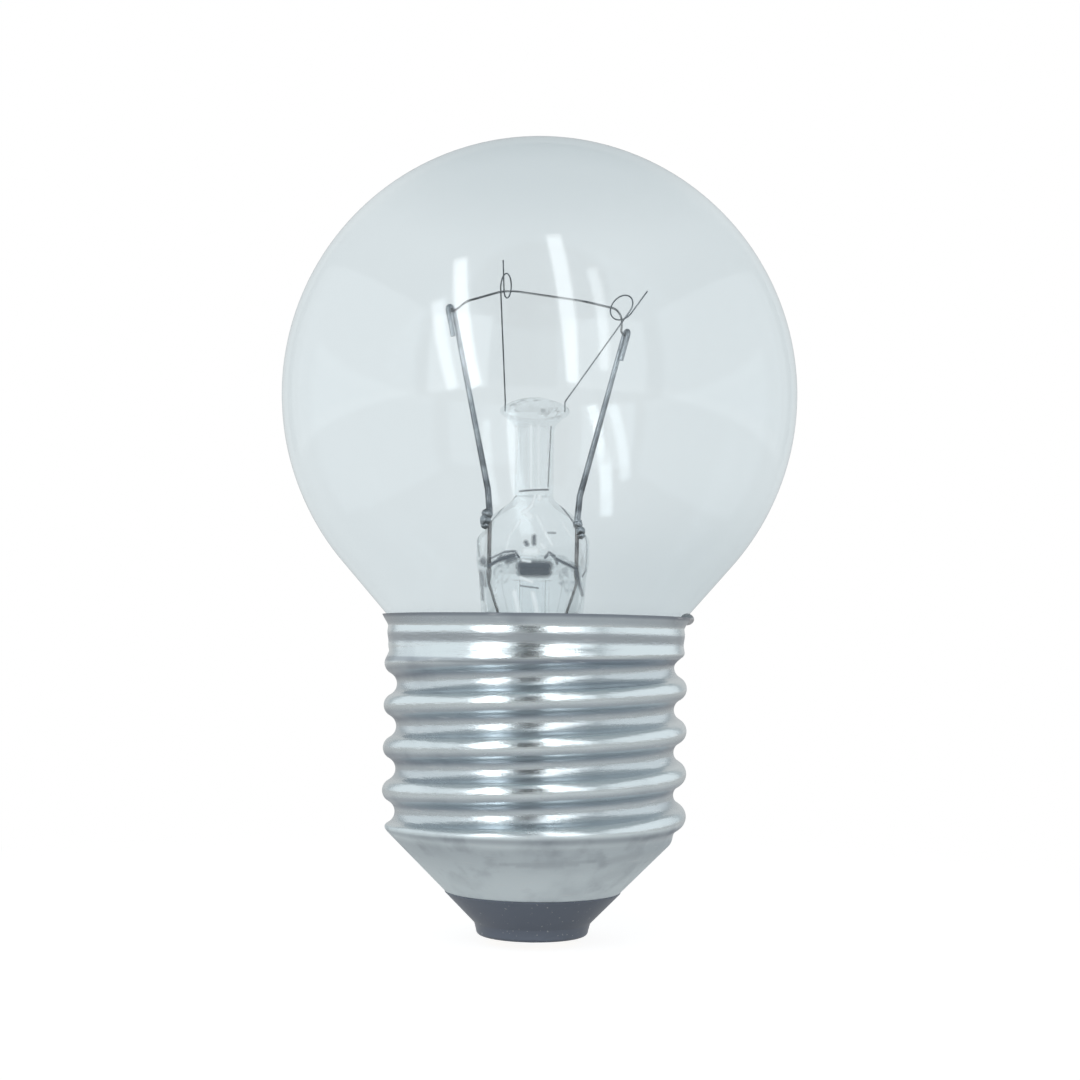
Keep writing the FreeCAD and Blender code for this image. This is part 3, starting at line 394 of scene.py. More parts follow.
def stem_glass(name, weight, shade_lines, glints, mottles, melted):
    """Thick glass, drawn and pressed: mostly clear, with painted shade in lines and painted highlights that
    glow on the front.
    """
    material, start, place = new_material(name)
    streaks = noise(place, 700.0, 2.0, (1, 1, 0.12))
    normal = bump(start, streaks, 0.0001, 0.5)
    facing = start.node("ShaderNodeLayerWeight", {"Blend": 0.5}, out="Facing")
    clear = start.node("ShaderNodeBsdfTransparent", {"Color": (0.975, 0.985, 0.988, 1)})
    thick = start.node("ShaderNodeBsdfPrincipled", {
        "Base Color": (0.96, 0.975, 0.98, 1), "Roughness": 0.02, "IOR": 1.4, "Transmission Weight": 1.0,
        "Normal": normal})
    shader = start.node("ShaderNodeMixShader", {0: weight, 1: clear, 2: thick})
    shade = start.node("ShaderNodeBsdfPrincipled", {"Base Color": (0.13, 0.15, 0.18, 1), "Roughness": 0.3})
    x, y, z = split(place)
    x, z = x / MM, z / MM
    front = y < -0.0003
    flat = start.node("ShaderNodeCombineXYZ", {0: x, 2: z})
    swirl = noise(place, 1100.0, 3.0).smooth(0.5, 0.64)
    patch = 0
    for across, up, half_width, half_height in mottles:
        away = ((x - across) / half_width) ** 2 + ((z - up) / half_height) ** 2
        patch = (1 - away.smooth(0.6, 1.5)).high(patch)
    # Painted shade: the shade lines and the edges of the glass turn it a dark slate; the mottled patches
    # darken it the same way.
    dark = facing.smooth(0.9, 1.0) * 0.12 + front * strokes(flat, shade_lines).high(swirl * patch * melted)
    shader = start.node("ShaderNodeMixShader", {0: dark.low(1), 1: shader, 2: shade})
    # Painted highlights: the glints glow a bluish white.
    shine = start.node("ShaderNodeEmission", {"Color": (0.88, 0.935, 0.955, 1), "Strength": 1.0})
    shader = start.node("ShaderNodeMixShader", {0: front * strokes(flat, glints), 1: shader, 2: shine})
    return finished(material, shader)


def drawn_metal(name, dark, light, roughness, grain, foot=None):
    """Drawn wire: fine lines, dark where it has tarnished, and where a foot is given darker towards its foot,
    above a pale weld.
    """
    material, start, place = new_material(name)
    bright = noise(place, 700.0, 4.0).smooth(0.35, 0.65)
    if foot:
        up = split(place)[2] / MM
        weld = 1 - up.smooth(WELD_TOP, WELD_TOP + 0.5)
        bright = bright * 0.5 + (up.smooth(*foot) + weld) * 0.5
    lines = noise(place, grain, 3.0, (1, 1, 0.25))
    metal = start.node("ShaderNodeBsdfPrincipled", {
        "Base Color": blend(start, bright, dark, light), "Metallic": 1.0,
        "Roughness": lines * 0.25 + roughness, "Normal": bump(start, lines, 0.00002, 0.4)})
    return finished(material, metal)


def rolled_cap():
    """Bright rolled sheet: fine lines round the thread, a matt scuffed cone, and painted shade in the dull
    roots, on the dark lip, under the crests, in collar bands and on the cone's front.
    """
    material, start, place = new_material("rolled_cap")
    x, y, up = split(place)
    up = up / MM
    reach = (x * x + y * y).root() / MM
    flat = start.node("ShaderNodeCombineXYZ", {0: x / MM, 2: up})
    # Painted shade: darker in the roots of the thread, from the cone upwards.
    root = 1 - reach.smooth(THREAD_RADIUS - THREAD_DEPTH, THREAD_RADIUS - THREAD_DEPTH * 0.35)
    lines = noise(place, 900.0, 4.0, (1, 1, 7))
    cloud = noise(place, 160.0, 5.0)
    scuff = noise(place, 1500.0, 3.0, (0.3, 0.3, 2.5)).smooth(0.6, 0.78)
    cone = 1 - (up - reach + (HEM_RADIUS - HEM_LEVEL)).smooth(0.15, 0.7)
    # Painted shade: a darker band on the lip.
    lip = up.smooth(LIP_FOOT + 0.6, LIP_FOOT + 0.9)
    # Painted shade: two dark bands round the collar.
    wide, fine = [up.smooth(*levels[:2]) * (1 - up.smooth(*levels[2:])) for levels in COLLAR_SHADE_BANDS]
    # Painted shade: dark marks on the front of the cone only.
    cone_shade = (y < 0) * strokes(flat, CONE_SHADE_MARKS)
    tilt = split(start.node("ShaderNodeNewGeometry", out="Normal"))[2]
    # Painted shade: darker where the sheet faces down, under each crest of the thread.
    under = (1 - tilt.smooth(-0.65, -0.1)) * up.smooth(9.3, 10.0)
    # The darkening adds painted shade in the roots, on the lip, under the crests and in the collar bands to a
    # random cloudy tone and a scuffed tone on the cone.
    grime_and_shade = root * up.smooth(5.5, 9.0) * 0.3 + cloud.smooth(0.5, 0.8) * 0.3 + lip * 0.5 + under * 0.65
    grime_and_shade = grime_and_shade + (wide + fine) * 0.55 + cone * noise(place, 420.0, 4.0).smooth(0.5, 0.7) * 0.2
    colour = blend(start, grime_and_shade.low(1), (0.82, 0.905, 0.93, 1), (0.3, 0.34, 0.39, 1))
    colour = blend(start, cone_shade * cone, colour, (0.42, 0.47, 0.51, 1))
    metal = start.node("ShaderNodeBsdfPrincipled", {
        "Base Color": blend(start, scuff * 0.4, colour, (0.85, 0.87, 0.88, 1)), "Metallic": 1 - cone * 0.25,
        "Roughness": (lines * 0.1 + cloud * 0.14 + grime_and_shade * 0.1 + cone * 0.28 + 0.12).low(1),
        "Normal": bump(start, lines * 0.3 + cloud, 0.0002, 0.35)})
    return finished(material, metal)


def black_glass():
    """Moulded black glass with pale dust on it."""
    material, start, place = new_material("black_glass")
    dust = noise(place, 3400.0, 2.0).smooth(0.68, 0.74)
    haze = noise(place, 260.0, 4.0)
    body = blend(start, haze * 0.6, (0.16, 0.19, 0.245, 1), (0.25, 0.28, 0.34, 1))
    glass = start.node("ShaderNodeBsdfPrincipled", {
        "Base Color": blend(start, dust, body, (0.55, 0.58, 0.6, 1)),
        "Roughness": haze * 0.2 + 0.24, "IOR": 1.5, "Normal": bump(start, haze, 0.0001, 0.3)})
    return finished(material, glass)


def dull_solder():
    material, start, place = new_material("dull_solder")
    lumps = noise(place, 900.0, 4.0)
    metal = start.node("ShaderNodeBsdfPrincipled", {
        "Base Color": blend(start, lumps, (0.35, 0.36, 0.37, 1), (0.66, 0.67, 0.68, 1)), "Metallic": 1.0,
        "Roughness": lumps * 0.3 + 0.25, "Normal": bump(start, lumps, 0.0002, 0.5)})
    return finished(material, metal)


def baked_cement():
    material, start, place = new_material("baked_cement")
    grains = noise(place, 1800.0, 5.0)
    paste = start.node("ShaderNodeBsdfPrincipled", {
        "Base Color": blend(start, grains, (0.42, 0.37, 0.29, 1), (0.68, 0.62, 0.52, 1)), "Roughness": 0.9,
        "Normal": bump(start, grains, 0.0003, 0.6)})
    return finished(material, paste)


# Mesh helpers
def new_piece(name, mesh, material, replaces, shade=40):
    """A finished piece that stands for one or more nodes of the frame."""
    mesh.materials.clear()
    mesh.materials.append(material)
    mesh.shade_smooth()
    mesh.set_sharp_from_angle(angle=math.radians(shade))
    piece = bpy.data.objects.new(name, mesh)
    bpy.context.scene.collection.objects.link(piece)
    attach(piece, "root")
    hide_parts(*replaces)
    return piece


def mesh_from(name, points, faces):
    mesh = bpy.data.meshes.new(name)
    mesh.from_pydata([Vector(point) * MM for point in points], [], faces)
    return mesh


def mesh_of(name, form):
    """The mesh of a finished edit."""
    mesh = bpy.data.meshes.new(name)
    form.to_mesh(mesh)
    form.free()
    return mesh


def arc(centre, radius, first, last, count):
    """Points of an arc in the outline's plane, angles in degrees."""
    turns = [math.radians(first + (last - first) * index / count) for index in range(count + 1)]
    return [(centre[0] + radius * math.cos(turn), centre[1] + radius * math.sin(turn)) for turn in turns]


def turned(name, outline, sides=160, closed=True):
    """A mesh of an outline turned about the axis; ends on the axis become poles."""
    form = bmesh.new()
    points = [form.verts.new((across * MM, 0, level * MM)) for across, level in outline]
    edges = [form.edges.new(pair) for pair in zip(points, points[1:])]
    if closed:
        edges.append(form.edges.new((points[-1], points[0])))
    bmesh.ops.spin(form, geom=points + edges, cent=(0, 0, 0), axis=(0, 0, 1), angle=2 * math.pi, steps=sides)
    bmesh.ops.remove_doubles(form, verts=form.verts, dist=1e-7)
    bmesh.ops.dissolve_degenerate(form, edges=form.edges, dist=1e-8)
    bmesh.ops.recalc_face_normals(form, faces=form.faces)
    return mesh_of(name, form)


def blown_profile(wall, foot, steps):
    """Outline of the blown glass at a depth in its wall, from the top down to the neck's foot."""
    ball = GLOBE_RADIUS - wall
    neck = NECK_RADIUS - wall
    bend = NECK_BLEND + wall
    taper_top = GLOBE_CENTRE - ball * math.sin(SHOULDER_ANGLE)
    corner = taper_top - (ball * math.cos(SHOULDER_ANGLE) - neck) / math.tan(SHOULDER_ANGLE)
    reach = bend * math.tan(SHOULDER_ANGLE / 2)
    outline = arc((0, GLOBE_CENTRE), ball, 90, -math.degrees(SHOULDER_ANGLE), steps)
    outline[0] = (0, outline[0][1])
    outline += arc((neck + bend, corner - reach), bend, 180 - math.degrees(SHOULDER_ANGLE), 180, 12)
    return outline + [(neck, foot)]


def make_globe(material):
    outer = blown_profile(0, SEAL_LEVEL, 72)
    inner = blown_profile(GLASS_WALL, SEAL_LEVEL, 72)
    mesh = turned("blown_globe", outer + inner[::-1], closed=False)
    return new_piece("blown_globe", mesh, material, ["globe_envelope"])


# Geometry node trees
def new_tree(name, sizes):
    """A geometry tree with named inputs for its sizes."""
    tree = bpy.data.node_groups.new(name, "GeometryNodeTree")
    tree.interface.new_socket("Geometry", in_out="INPUT", socket_type="NodeSocketGeometry")
    tree.interface.new_socket("Geometry", in_out="OUTPUT", socket_type="NodeSocketGeometry")
    for size, kind in sizes.items():
        tree.interface.new_socket(size, in_out="INPUT", socket_type=kind)
    entry = tree.nodes.new("NodeGroupInput")
    return tree, {socket.name: Value(tree, socket) for socket in entry.outputs if socket.name}


def end_tree(tree, shape, material):
    """Ends a tree with real geometry that carries its material."""
    real = shape.node("GeometryNodeRealizeInstances", {0: shape})
    real = real.node("GeometryNodeSetMaterial", {"Geometry": real, "Material": material})
    tree.links.new(real.socket, tree.nodes.new("NodeGroupOutput").inputs[0])


def grown(tree, base, sizes):
    """The plain mesh that a tree makes from a base mesh with these sizes."""
    host = bpy.data.objects.new(base.name, base)
    bpy.context.scene.collection.objects.link(host)
    growth = host.modifiers.new("growth", "NODES")
    growth.node_group = tree
    for socket in tree.interface.items_tree:
        if socket.in_out == "INPUT" and socket.name in sizes:
            growth[socket.identifier] = sizes[socket.name]
    seen = host.evaluated_get(bpy.context.evaluated_depsgraph_get())
    mesh = bpy.data.meshes.new_from_object(seen)
    bpy.data.objects.remove(host)
    return mesh


def thread_tree(material):
    """Rolled shell: a grid wrapped round the axis, out up the skin and back down inside the sheet."""
    tree, ins = new_tree("rolled_thread", {"Sides": "NodeSocketInt", "Rings": "NodeSocketInt",
                                           "Sheet": "NodeSocketFloat"})
    rings = ins["Rings"]
    grid = rings.node("GeometryNodeMeshGrid", {"Size X": 1.0, "Size Y": 1.0, "Vertices X": ins["Sides"] + 1,
                                               "Vertices Y": rings * 2 + 1})
    place = rings.node("GeometryNodeInputPosition")
    across, along = split(place)[:2]
    turn = (across + 0.5) * (2 * math.pi)
    row = (along + 0.5) * (rings * 2)
    inside = (row > rings - 0.5) * (row < rings * 2 - 0.5)
    rise = inside.choose(rings * 2 - 1 - row, (row < rings - 0.5) * row) / (rings - 1)
    level = rise * (RIM_LEVEL - HEM_LEVEL) + HEM_LEVEL
    inset = inside * ins["Sheet"]
    fade = level.smooth(COLLAR_FOOT - THREAD_FADE, COLLAR_FOOT)
    reach = fade.choose(COLLAR_RADIUS, thread_radius(turn, level)) - inset
    reach = reach + (level - LIP_FOOT).high(0) * (LIP_REACH / (RIM_LEVEL - LIP_FOOT))
    beads = (level - COLLAR_BEAD) * (2 * math.pi / BEAD_PITCH)
    beads = beads.maths("COSINE", beads) * BEAD_DEPTH
    reach = reach + fade * (1 - level.smooth(LIP_FOOT, RIM_LEVEL)) * beads
    cone = level + (HEM_RADIUS - HEM_LEVEL) - inset * math.sqrt(2)
    mix = (CONE_BLEND - (reach - cone).size()).high(0) / CONE_BLEND
    reach = (reach.low(cone) - mix * mix * (CONE_BLEND / 4)) * MM
    wrapped = rings.node("ShaderNodeCombineXYZ", {0: reach * turn.maths("COSINE", turn),
                                                  1: reach * turn.maths("SINE", turn), 2: level * MM})
    skin = rings.node("GeometryNodeSetPosition", {"Geometry": grid, "Position": wrapped})
    skin = rings.node("GeometryNodeMergeByDistance", {"Geometry": skin, "Distance": 1e-7})
    end_tree(tree, skin, material)
    return tree


def make_cap(material):
    base = bpy.data.meshes.new("rolled_cap")
    mesh = grown(thread_tree(material), base, {"Sides": CAP_SIDES, "Rings": CAP_RINGS, "Sheet": CAP_SHEET})
    return new_piece("rolled_cap", mesh, material, ["cap_shell"], 60)


def rounded(route, bend, count):
    """The route with its corners rounded in a number of steps."""
    return route.node("GeometryNodeFilletCurve", {"Curve": route, "Radius": bend, "Limit Radius": True,
                                                  "Count": count}, mode="POLY")


def wire_tree(material):
    """Drawn wire: a route with rounded corners and a round section that narrows to its tip."""
    tree, ins = new_tree("drawn_wire", {"Radius": "NodeSocketFloat", "Tip": "NodeSocketFloat",
                                        "Bend": "NodeSocketFloat", "Step": "NodeSocketFloat",
                                        "Sides": "NodeSocketInt"})
    route = ins["Geometry"].node("GeometryNodeMeshToCurve", {0: ins["Geometry"]})
    route = rounded(route, ins["Bend"], 10)
    route = route.node("GeometryNodeResampleCurve", {"Curve": route, "Length": ins["Step"]}, mode="LENGTH")
    ring = route.node("GeometryNodeCurvePrimitiveCircle", {"Resolution": ins["Sides"],
                                                           "Radius": ins["Radius"]})
    part = route.node("GeometryNodeSplineParameter")
    wire = route.node("GeometryNodeCurveToMesh", {"Curve": route, "Profile Curve": ring, "Fill Caps": True,
                                                  "Scale": part * (ins["Tip"] - 1) + 1})
    end_tree(tree, wire, material)
    return tree


def route_mesh(name, corners):
    base = bpy.data.meshes.new(name)
    base.from_pydata([Vector(corner) * MM for corner in corners],
                     [(index, index + 1) for index in range(len(corners) - 1)], [])
    return base


def make_wire(tree, name, corners, radius, bend, material, replaces, step=0.06, sides=14, tip=1.0):
    """A wire along a route; tip is the share of its radius that is left at the end."""
    mesh = grown(tree, route_mesh(name, corners), {"Radius": radius * MM, "Tip": tip, "Bend": bend * MM,
                                                   "Step": step * MM, "Sides": sides})
    return new_piece(name, mesh, material, replaces)


# Camera, floor and lights
def make_camera():
    camera = bpy.data.objects.new("camera", bpy.data.cameras.new("camera"))
    bpy.context.scene.collection.objects.link(camera)
    bpy.context.scene.camera = camera
    camera.data.lens = CAMERA_LENS
    camera.data.sensor_width = 36
    camera.data.clip_start = 0.01
    ahead = Vector((0, math.cos(CAMERA_TILT), math.sin(CAMERA_TILT)))
    above = Vector((0, -math.sin(CAMERA_TILT), math.cos(CAMERA_TILT)))
    right = Vector((math.cos(CAMERA_ROLL), 0, 0)) + above * math.sin(CAMERA_ROLL)
    above = right.cross(ahead)
    turn = Matrix((right, above, -ahead)).transposed().to_4x4()
    camera.matrix_world = Matrix.Translation(CAMERA_PLACE) @ turn


def add_strip(name, first, last, width, power):
    """A long soft light between two places, facing the lamp."""
    first, last = Vector(first), Vector(last)
    light = bpy.data.lights.new(name, "AREA")
    light.shape = "RECTANGLE"
    light.size = width
    light.size_y = (last - first).length
    light.energy = power
    lamp = bpy.data.objects.new(name, light)
    bpy.context.scene.collection.objects.link(lamp)
    middle = (first + last) / 2
    back = (middle - Vector((0, 0, GLOBE_CENTRE * MM))).normalized()
    up = (last - first).normalized()
    side = up.cross(back).normalized()
    back = side.cross(up)
    lamp.matrix_world = Matrix.Translation(middle) @ Matrix((side, up, back)).transposed().to_4x4()


def studio_white(name, colour, kept, gloss):
    """White to the camera and through glass, and partly in gloss. Near the lamp it keeps some shadow."""
    material, start, place = new_material(name)
    camera = start.node("ShaderNodeLightPath", out="Is Camera Ray")
    weight = (camera + camera.other("Is Glossy Ray") * gloss + camera.other("Is Transmission Ray")).low(1)
    glow, white = [start.node("ShaderNodeEmission", {"Color": (1, 1, 1, 1), "Strength": strength})
                   for strength in (1 - kept * 0.4, 1.0)]
    matt = start.node("ShaderNodeBsdfDiffuse", {"Color": (colour * kept, colour * kept, colour * kept, 1)})
    near = start.node("ShaderNodeMixShader", {0: weight, 2: glow})
    near = start.node("ShaderNodeAddShader", {0: near, 1: matt})
    far = start.node("ShaderNodeMixShader", {0: weight, 2: white})
    distance = start.node("ShaderNodeVectorMath", {0: place}, out="Value", operation="LENGTH")
    shader = start.node("ShaderNodeMixShader", {0: distance.smooth(0.03, 0.09), 1: near, 2: far})
    return finished(material, shader)


def make_board(name, corners, material):
    mesh = bpy.data.meshes.new(name)
    mesh.from_pydata(corners, [], [(0, 1, 2, 3)])
    mesh.materials.append(material)
    board = bpy.data.objects.new(name, mesh)
    bpy.context.scene.collection.objects.link(board)


def make_stage():
    """The floor, the backdrop, and the dark gap between the two windows, which only gloss shows."""
    make_board("floor", [(-2, -2, 0), (2, -2, 0), (2, 2, 0), (-2, 2, 0)],
               studio_white("floor_white", 1.0, 0.3, 0.5))
    make_board("backdrop", [(-0.3, 0.45, 0), (0.3, 0.45, 0), (0.3, 0.45, 0.5), (-0.3, 0.45, 0.5)],
               studio_white("backdrop_white", 0.9, 0.0, 0.6))
    make_board("window_gap", [(-0.17, -0.62, 0), (0.08, -0.62, 0), (0.08, -0.62, 0.5), (-0.17, -0.62, 0.5)],
               studio_white("gap_shade", 0.0, 0.0, 0.0))


def make_world():
    world = bpy.data.worlds.new("studio")
    bpy.context.scene.world = world
    world.use_nodes = True
    tree = world.node_tree
    tree.nodes.clear()
    start = Value(tree, None)
    camera = start.node("ShaderNodeLightPath", out="Is Camera Ray")
    room = start.node("ShaderNodeBackground", {"Color": (0.35, 0.38, 0.4, 1), "Strength": 1.0})
    white = start.node("ShaderNodeBackground", {"Color": (1, 1, 1, 1), "Strength": 1.0})
    seen = camera.high(camera.other("Is Transmission Ray"))
    shader = start.node("ShaderNodeMixShader", {0: seen, 1: room, 2: white})
    tree.links.new(shader.socket, tree.nodes.new("ShaderNodeOutputWorld").inputs["Surface"])


# Stem
def eased(stops, level):
    """A smooth value between stops of (level, value)."""
    if level <= stops[0][0]:
        return stops[0][1]
    for (low, first), (high, last) in zip(stops, stops[1:]):
        if level <= high:
            part = max(0.0, (level - low) / (high - low))
            return first + (last - first) * part * part * (3 - 2 * part)
    return stops[-1][1]


def oval_ring(level, half_width, half_depth, power, sides, shift=0):
    """Points round the stem at a level; a power over 2 makes the oval squarer."""
    ring = []
    for index in range(sides):
        turn = 2 * math.pi * index / sides
        across, front = math.cos(turn), math.sin(turn)
        ring.append((shift + half_width * math.copysign(abs(across) ** (2 / power), across),
                     half_depth * math.copysign(abs(front) ** (2 / power), front), level))
    return ring


def make_stem(material, sides=96):
    """Flare, tube and pinched press in one skin with its hollow."""
    sweep = NECK_RADIUS - GLASS_WALL - STEM_RADIUS
    flare_top = SEAL_LEVEL + sweep
    shift = [(flare_top, 0), (ROUND_TOP, MOUNT_SHIFT)]
    quarter = [math.radians(90 * index / 24) for index in range(25)]
    rings, hollow = [], []
    for turn in quarter:
        reach = STEM_RADIUS + sweep * (1 - math.sin(turn))
        rings.append(oval_ring(SEAL_LEVEL + sweep * (1 - math.cos(turn)), reach, reach, 2, sides))
    for index in range(1, 65):
        level = flare_top + (PRESS_TOP - flare_top) * index / 64
        width, depth, aside = [eased(stops, level) for stops in (PRESS_WIDTHS, PRESS_DEPTHS, shift)]
        rings.append(oval_ring(level, width, depth, STEM_POWER, sides, aside))
    for index in range(36):
        level = HOLLOW_ROOF - (HOLLOW_ROOF - flare_top) * index / 35
        width, depth, aside = [eased(stops, level) for stops in (HOLLOW_WIDTHS, HOLLOW_DEPTHS, shift)]
        hollow.append(oval_ring(level, width, depth, STEM_POWER, sides, aside))
    for turn in quarter[1:]:
        reach = STEM_BORE + sweep * (1 - math.cos(turn))
        hollow.append(oval_ring(flare_top - STEM_WALL - sweep * math.sin(turn), reach, reach, 2, sides))
    points = sum(rings + hollow, [])
    faces = []
    foot = len(rings) * sides
    for start, count in ((0, len(rings)), (foot, len(hollow))):
        for row in range(count - 1):
            for side in range(sides):
                a = start + row * sides + side
                b = start + row * sides + (side + 1) % sides
                faces.append((a, b, b + sides, a + sides))
    faces.append(tuple(range((len(rings) - 1) * sides, len(rings) * sides)))
    faces.append(tuple(range(foot, foot + sides)))
    last = foot + (len(hollow) - 1) * sides
    for side in range(sides):
        after = (side + 1) % sides
        faces.append((side, after, last + after, last + side))
    mesh = mesh_from("glass_stem", points, faces)
    form = bmesh.new()
    form.from_mesh(mesh)
    bmesh.ops.remove_doubles(form, verts=form.verts, dist=1e-7)
    bmesh.ops.recalc_face_normals(form, faces=form.faces)
    form.to_mesh(mesh)
    form.free()
    return new_piece("glass_stem", mesh, material, ["stem_flare"], 70)


def make_exhaust(material):
    outline = [(TUBE_RADIUS, 31.0), (TUBE_BORE, 31.0), (TUBE_BORE, 15.6), (0.7, 14.6), (0, 14.1), (0, 13.0),
               (0.55, 13.0), (1.2, 13.9), (TUBE_RADIUS, 15.6)]
    mesh = turned("tube_glass", outline, 64, False)
    mesh.transform(Matrix.Translation((MOUNT_SHIFT * MM, 0, 0)))
    return new_piece("tube_glass", mesh, material, ["exhaust_tube"])


def make_rod(material):
    edge = BUTTON_EDGE
    outline = [(0, ROD_FOOT + 0.03), (ROD_RADIUS - 0.1, ROD_FOOT + 0.03), (ROD_RADIUS, ROD_FOOT + 0.12),
               (ROD_RADIUS, edge - 1.85), (1.74, edge - 1.4), (2.0, edge - 0.95), (2.45, edge - 0.5),
               (2.85, edge - 0.25), (3.02, edge - 0.05), (3.05, edge + 0.15), (2.98, edge + 0.33),
               (2.8, edge + 0.48), (2.2, edge + 0.8), (1.4, edge + 1.08), (0.7, edge + 1.24),
               (0, edge + 1.28)]
    mesh = turned("glass_rod", outline, 72, False)
    mesh.transform(Matrix.Translation((MOUNT_SHIFT * MM, 0, 0)))
    return new_piece("glass_rod", mesh, material, ["arbor_rod"], 50)


# Wires
def looped(foot, stub, start, inward, radius, count=28):
    """Route of a support wire: foot, shank, one open loop, and the free end in line with the shank."""
    foot, stub, start = Vector(foot), Vector(stub), Vector(start)
    along = (start - stub).normalized()
    inward = Vector(inward)
    inward = (inward - along * inward.dot(along)).normalized()
    aside = inward.cross(along)
    centre = start + inward * radius
    route = [foot, stub]
    for index in range(count + 1):
        turn = 2 * math.pi * index / count
        route.append(centre + (along * math.sin(turn) - inward * math.cos(turn)) * radius
                     + aside * LOOP_PITCH * (index / count - 0.5))
    route.append(start + aside * LOOP_PITCH / 2 + along * LOOP_TAIL)
    return route


def coil_tree(material):
    """Fine wire wound round a route."""
    tree, ins = new_tree("wound_wire", {"Radius": "NodeSocketFloat", "Pitch": "NodeSocketFloat",
                                        "Wire": "NodeSocketFloat", "Bend": "NodeSocketFloat"})
    route = ins["Geometry"].node("GeometryNodeMeshToCurve", {0: ins["Geometry"]})
    route = rounded(route, ins["Bend"], 12)
    route = route.node("GeometryNodeResampleCurve", {"Curve": route, "Length": ins["Pitch"] / 12},
                       mode="LENGTH")
    wound = route.node("GeometryNodeSplineParameter", out="Length")
    turn = wound / ins["Pitch"] * (2 * math.pi)
    normal = route.node("GeometryNodeInputNormal")
    tangent = route.node("GeometryNodeInputTangent")
    beside = route.node("ShaderNodeVectorMath", {0: tangent, 1: normal}, operation="CROSS_PRODUCT")
    first, second = [route.node("ShaderNodeVectorMath", {0: way, "Scale": part * ins["Radius"]},
                                operation="SCALE")
                     for way, part in ((normal, turn.maths("COSINE", turn)),
                                       (beside, turn.maths("SINE", turn)))]
    out = route.node("ShaderNodeVectorMath", {0: first, 1: second})
    helix = route.node("GeometryNodeSetPosition", {"Geometry": route, "Offset": out})
    ring = route.node("GeometryNodeCurvePrimitiveCircle", {"Resolution": 5, "Radius": ins["Wire"]})
    wire = route.node("GeometryNodeCurveToMesh", {"Curve": helix, "Profile Curve": ring, "Fill Caps": True})
    end_tree(tree, wire, material)
    return tree


def make_filament(material):
    mesh = grown(coil_tree(material), route_mesh("wound_filament", FILAMENT),
                 {"Radius": COIL_RADIUS * MM, "Pitch": COIL_PITCH * MM, "Wire": COIL_WIRE * MM,
                  "Bend": 2.5 * MM})
    return new_piece("wound_filament", mesh, material, ["filament"])


def joined(piece, others):
    """Adds other meshes to a piece's own mesh."""
    form = bmesh.new()
    form.from_mesh(piece.data)
    for other in others:
        form.from_mesh(other)
    form.to_mesh(piece.data)
    form.free()
    piece.data.shade_smooth()
    return piece


def lump(name, centre, radius, seed):
    """A small melted bead with an uneven skin."""
    form = bmesh.new()
    bmesh.ops.create_uvsphere(form, u_segments=28, v_segments=18, radius=radius)
    for point in form.verts:
        uneven = fractal(point.co * (1.6 / radius) + Vector((seed, 0, 0)), 1.0, 2.0, 3)
        point.co = (Vector(centre) + point.co * (1 + 0.22 * uneven)) * MM
    return mesh_of(name, form)


def make_lead(tree, name, corners, material, node, beads):
    """A nickel lead, thinner at the top, with the lumps of the weld at its foot."""
    piece = make_wire(tree, name, corners, LEAD_RADIUS, 0.9, material, [node], tip=LEAD_TIP)
    return joined(piece, [lump(name, centre, radius, index) for index, (centre, radius) in enumerate(beads)])


def make_outer_lead(tree, name, corners, material, node):
    """A thin lead below the press, thicker where it is joined to the seal wire."""
    piece = make_wire(tree, name, corners, OUTER_RADIUS, 1.2, material, [node])
    outline = [(0, 0), (0.2, 0), (0.24, -0.05), (0.22, -0.4), (0.15, -0.9), (0.11, -1.25), (0, -1.25)]
    taper = turned(name, outline, 16, False)
    taper.transform(Matrix.Translation(Vector(corners[0]) * MM))
    return joined(piece, [taper])


# Foot of the cap
def make_insulator(material):
    under = HEM_RADIUS - CAP_SHEET * math.sqrt(2) - 0.05
    outline = [(1.3, 8.0), (under + 3.55, 8.0), (under, 4.45), (under, 4.44), (7.5, 4.42), (7.56, 4.38),
               (7.53, 4.3), (5.05, 1.8), (4.97, 1.68)]
    outline += [(4.8, 1.05)] + arc((4.45, 1.05), 0.35, 0, -90, 6)[1:] + [(3.91, 0.7), (3.91, 1.0), (1.3, 1.0)]
    return new_piece("black_insulator", turned("black_insulator", outline, 128), material,
                     ["cap_insulator"], 30)


def make_contact(material):
    outline = [(0.6, 1.0), (3.85, 1.0), (3.9, 0.95), (3.9, 0.75), (3.85, 0.7), (0.6, 0.7)]
    return new_piece("plate_contact", turned("plate_contact", outline, 96), material,
                     ["contact_plate"])


def make_centre_solder(material):
    outline = [(0, 1.45), (0.4, 1.42), (0.59, 1.3), (0.59, 0.69), (1.85, 0.69), (1.9, 0.66), (1.75, 0.5),
               (1.4, 0.27), (0.95, 0.11), (0.45, 0.03), (0, 0)]
    return new_piece("solder_dome", turned("solder_dome", outline, 64, False), material,
                     ["centre_solder"], 60)


def make_cement(material):
    outline = [(11.6, 25.6), (12.5, 25.6), (12.54, 25.7), (12.54, 26.6), (12.5, 26.7), (12.1, 26.66),
               (11.95, 26.5), (11.6, 26.0)]
    return new_piece("cement_ring", turned("cement_ring", outline, 128), material,
                     ["capping_cement"])


def make_side_solder(material):
    """A melted drop that laps over the rim."""
    form = bmesh.new()
    bmesh.ops.create_uvsphere(form, u_segments=32, v_segments=20, radius=0.6 * MM)
    for point in form.verts:
        point.co.z *= 0.8 + 0.2 * math.sin(point.co.y * 3000)
        point.co += Vector((13.08, 0, 27.82)) * MM
    return new_piece("rim_solder", mesh_of("rim_solder", form), material, ["side_solder"])


make_camera()
make_world()
make_stage()

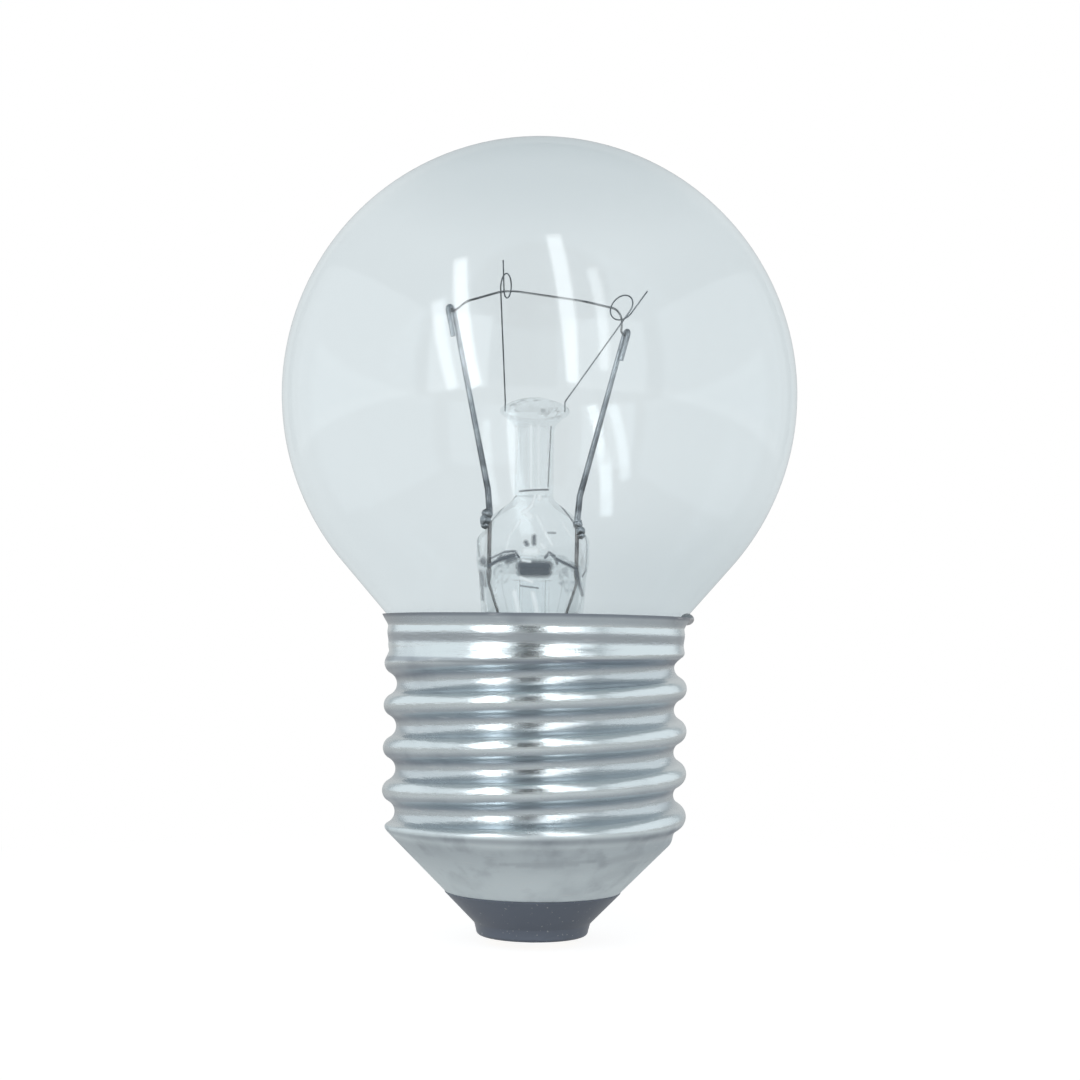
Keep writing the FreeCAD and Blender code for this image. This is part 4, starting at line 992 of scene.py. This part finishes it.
glass = blown_glass()
pressed_glass = stem_glass("pressed_glass", 0.16, PRESS_SHADE_LINES, GLINTS, PRESS_MOTTLES, 0.3)
rod_glass = stem_glass("rod_glass", 0.09, ROD_SHADE_LINES, ROD_GLINTS, BUTTON_MOTTLES, 0.3)
clear_glass = tube_glass()
nickel = drawn_metal("nickel_wire", (0.13, 0.14, 0.155, 1), (0.58, 0.61, 0.64, 1), 0.2, 2600.0, (38, 48))
copper = drawn_metal("copper_wire", (0.13, 0.13, 0.14, 1), (0.3, 0.27, 0.26, 1), 0.3, 2600.0)
fine_metal = drawn_metal("fine_wire", (0.2, 0.21, 0.22, 1), (0.42, 0.44, 0.46, 1), 0.25, 3600.0)
tungsten = drawn_metal("tungsten", (0.16, 0.165, 0.175, 1), (0.36, 0.37, 0.38, 1), 0.25, 5200.0)
brass = drawn_metal("contact_brass", (0.5, 0.38, 0.2, 1), (0.72, 0.58, 0.34, 1), 0.2, 1800.0)
aluminium = rolled_cap()
solder = dull_solder()

make_globe(glass)
make_stem(pressed_glass)
make_exhaust(clear_glass)
make_rod(rod_glass)

lead_metal = wire_tree(nickel)
copper_metal = wire_tree(copper)
support_metal = wire_tree(fine_metal)
make_lead(lead_metal, "left_lead", LEFT_LEAD, nickel, "inner_lead_left", LEFT_KNOT)
make_lead(lead_metal, "right_lead", RIGHT_LEAD, nickel, "inner_lead_right", RIGHT_KNOT)
for hand, (side, top) in SEAL_WIRES.items():
    make_wire(copper_metal, hand + "_seal_wire", [(side, 0, top), (side, 0, SEAL_FOOT)], SEAL_RADIUS, 0.1,
              copper, ["seal_wire_" + hand])
make_outer_lead(copper_metal, "centre_lead", CENTRE_LEAD, copper, "outer_lead_centre")
make_outer_lead(copper_metal, "side_lead", SIDE_LEAD, copper, "outer_lead_side")
for hand, support in SUPPORTS.items():
    make_wire(support_metal, hand + "_support", looped(*support), SUPPORT_RADIUS, 0.5, fine_metal,
              ["support_wire_" + hand], 0.05, 10)
make_filament(tungsten)

make_cap(aluminium)
make_insulator(black_glass())
make_contact(brass)
make_centre_solder(solder)
make_cement(baked_cement())
make_side_solder(solder)

for name, strip in LIGHTS.items():
    add_strip(name, *strip)

bpy.context.scene.view_settings.view_transform = "Standard"
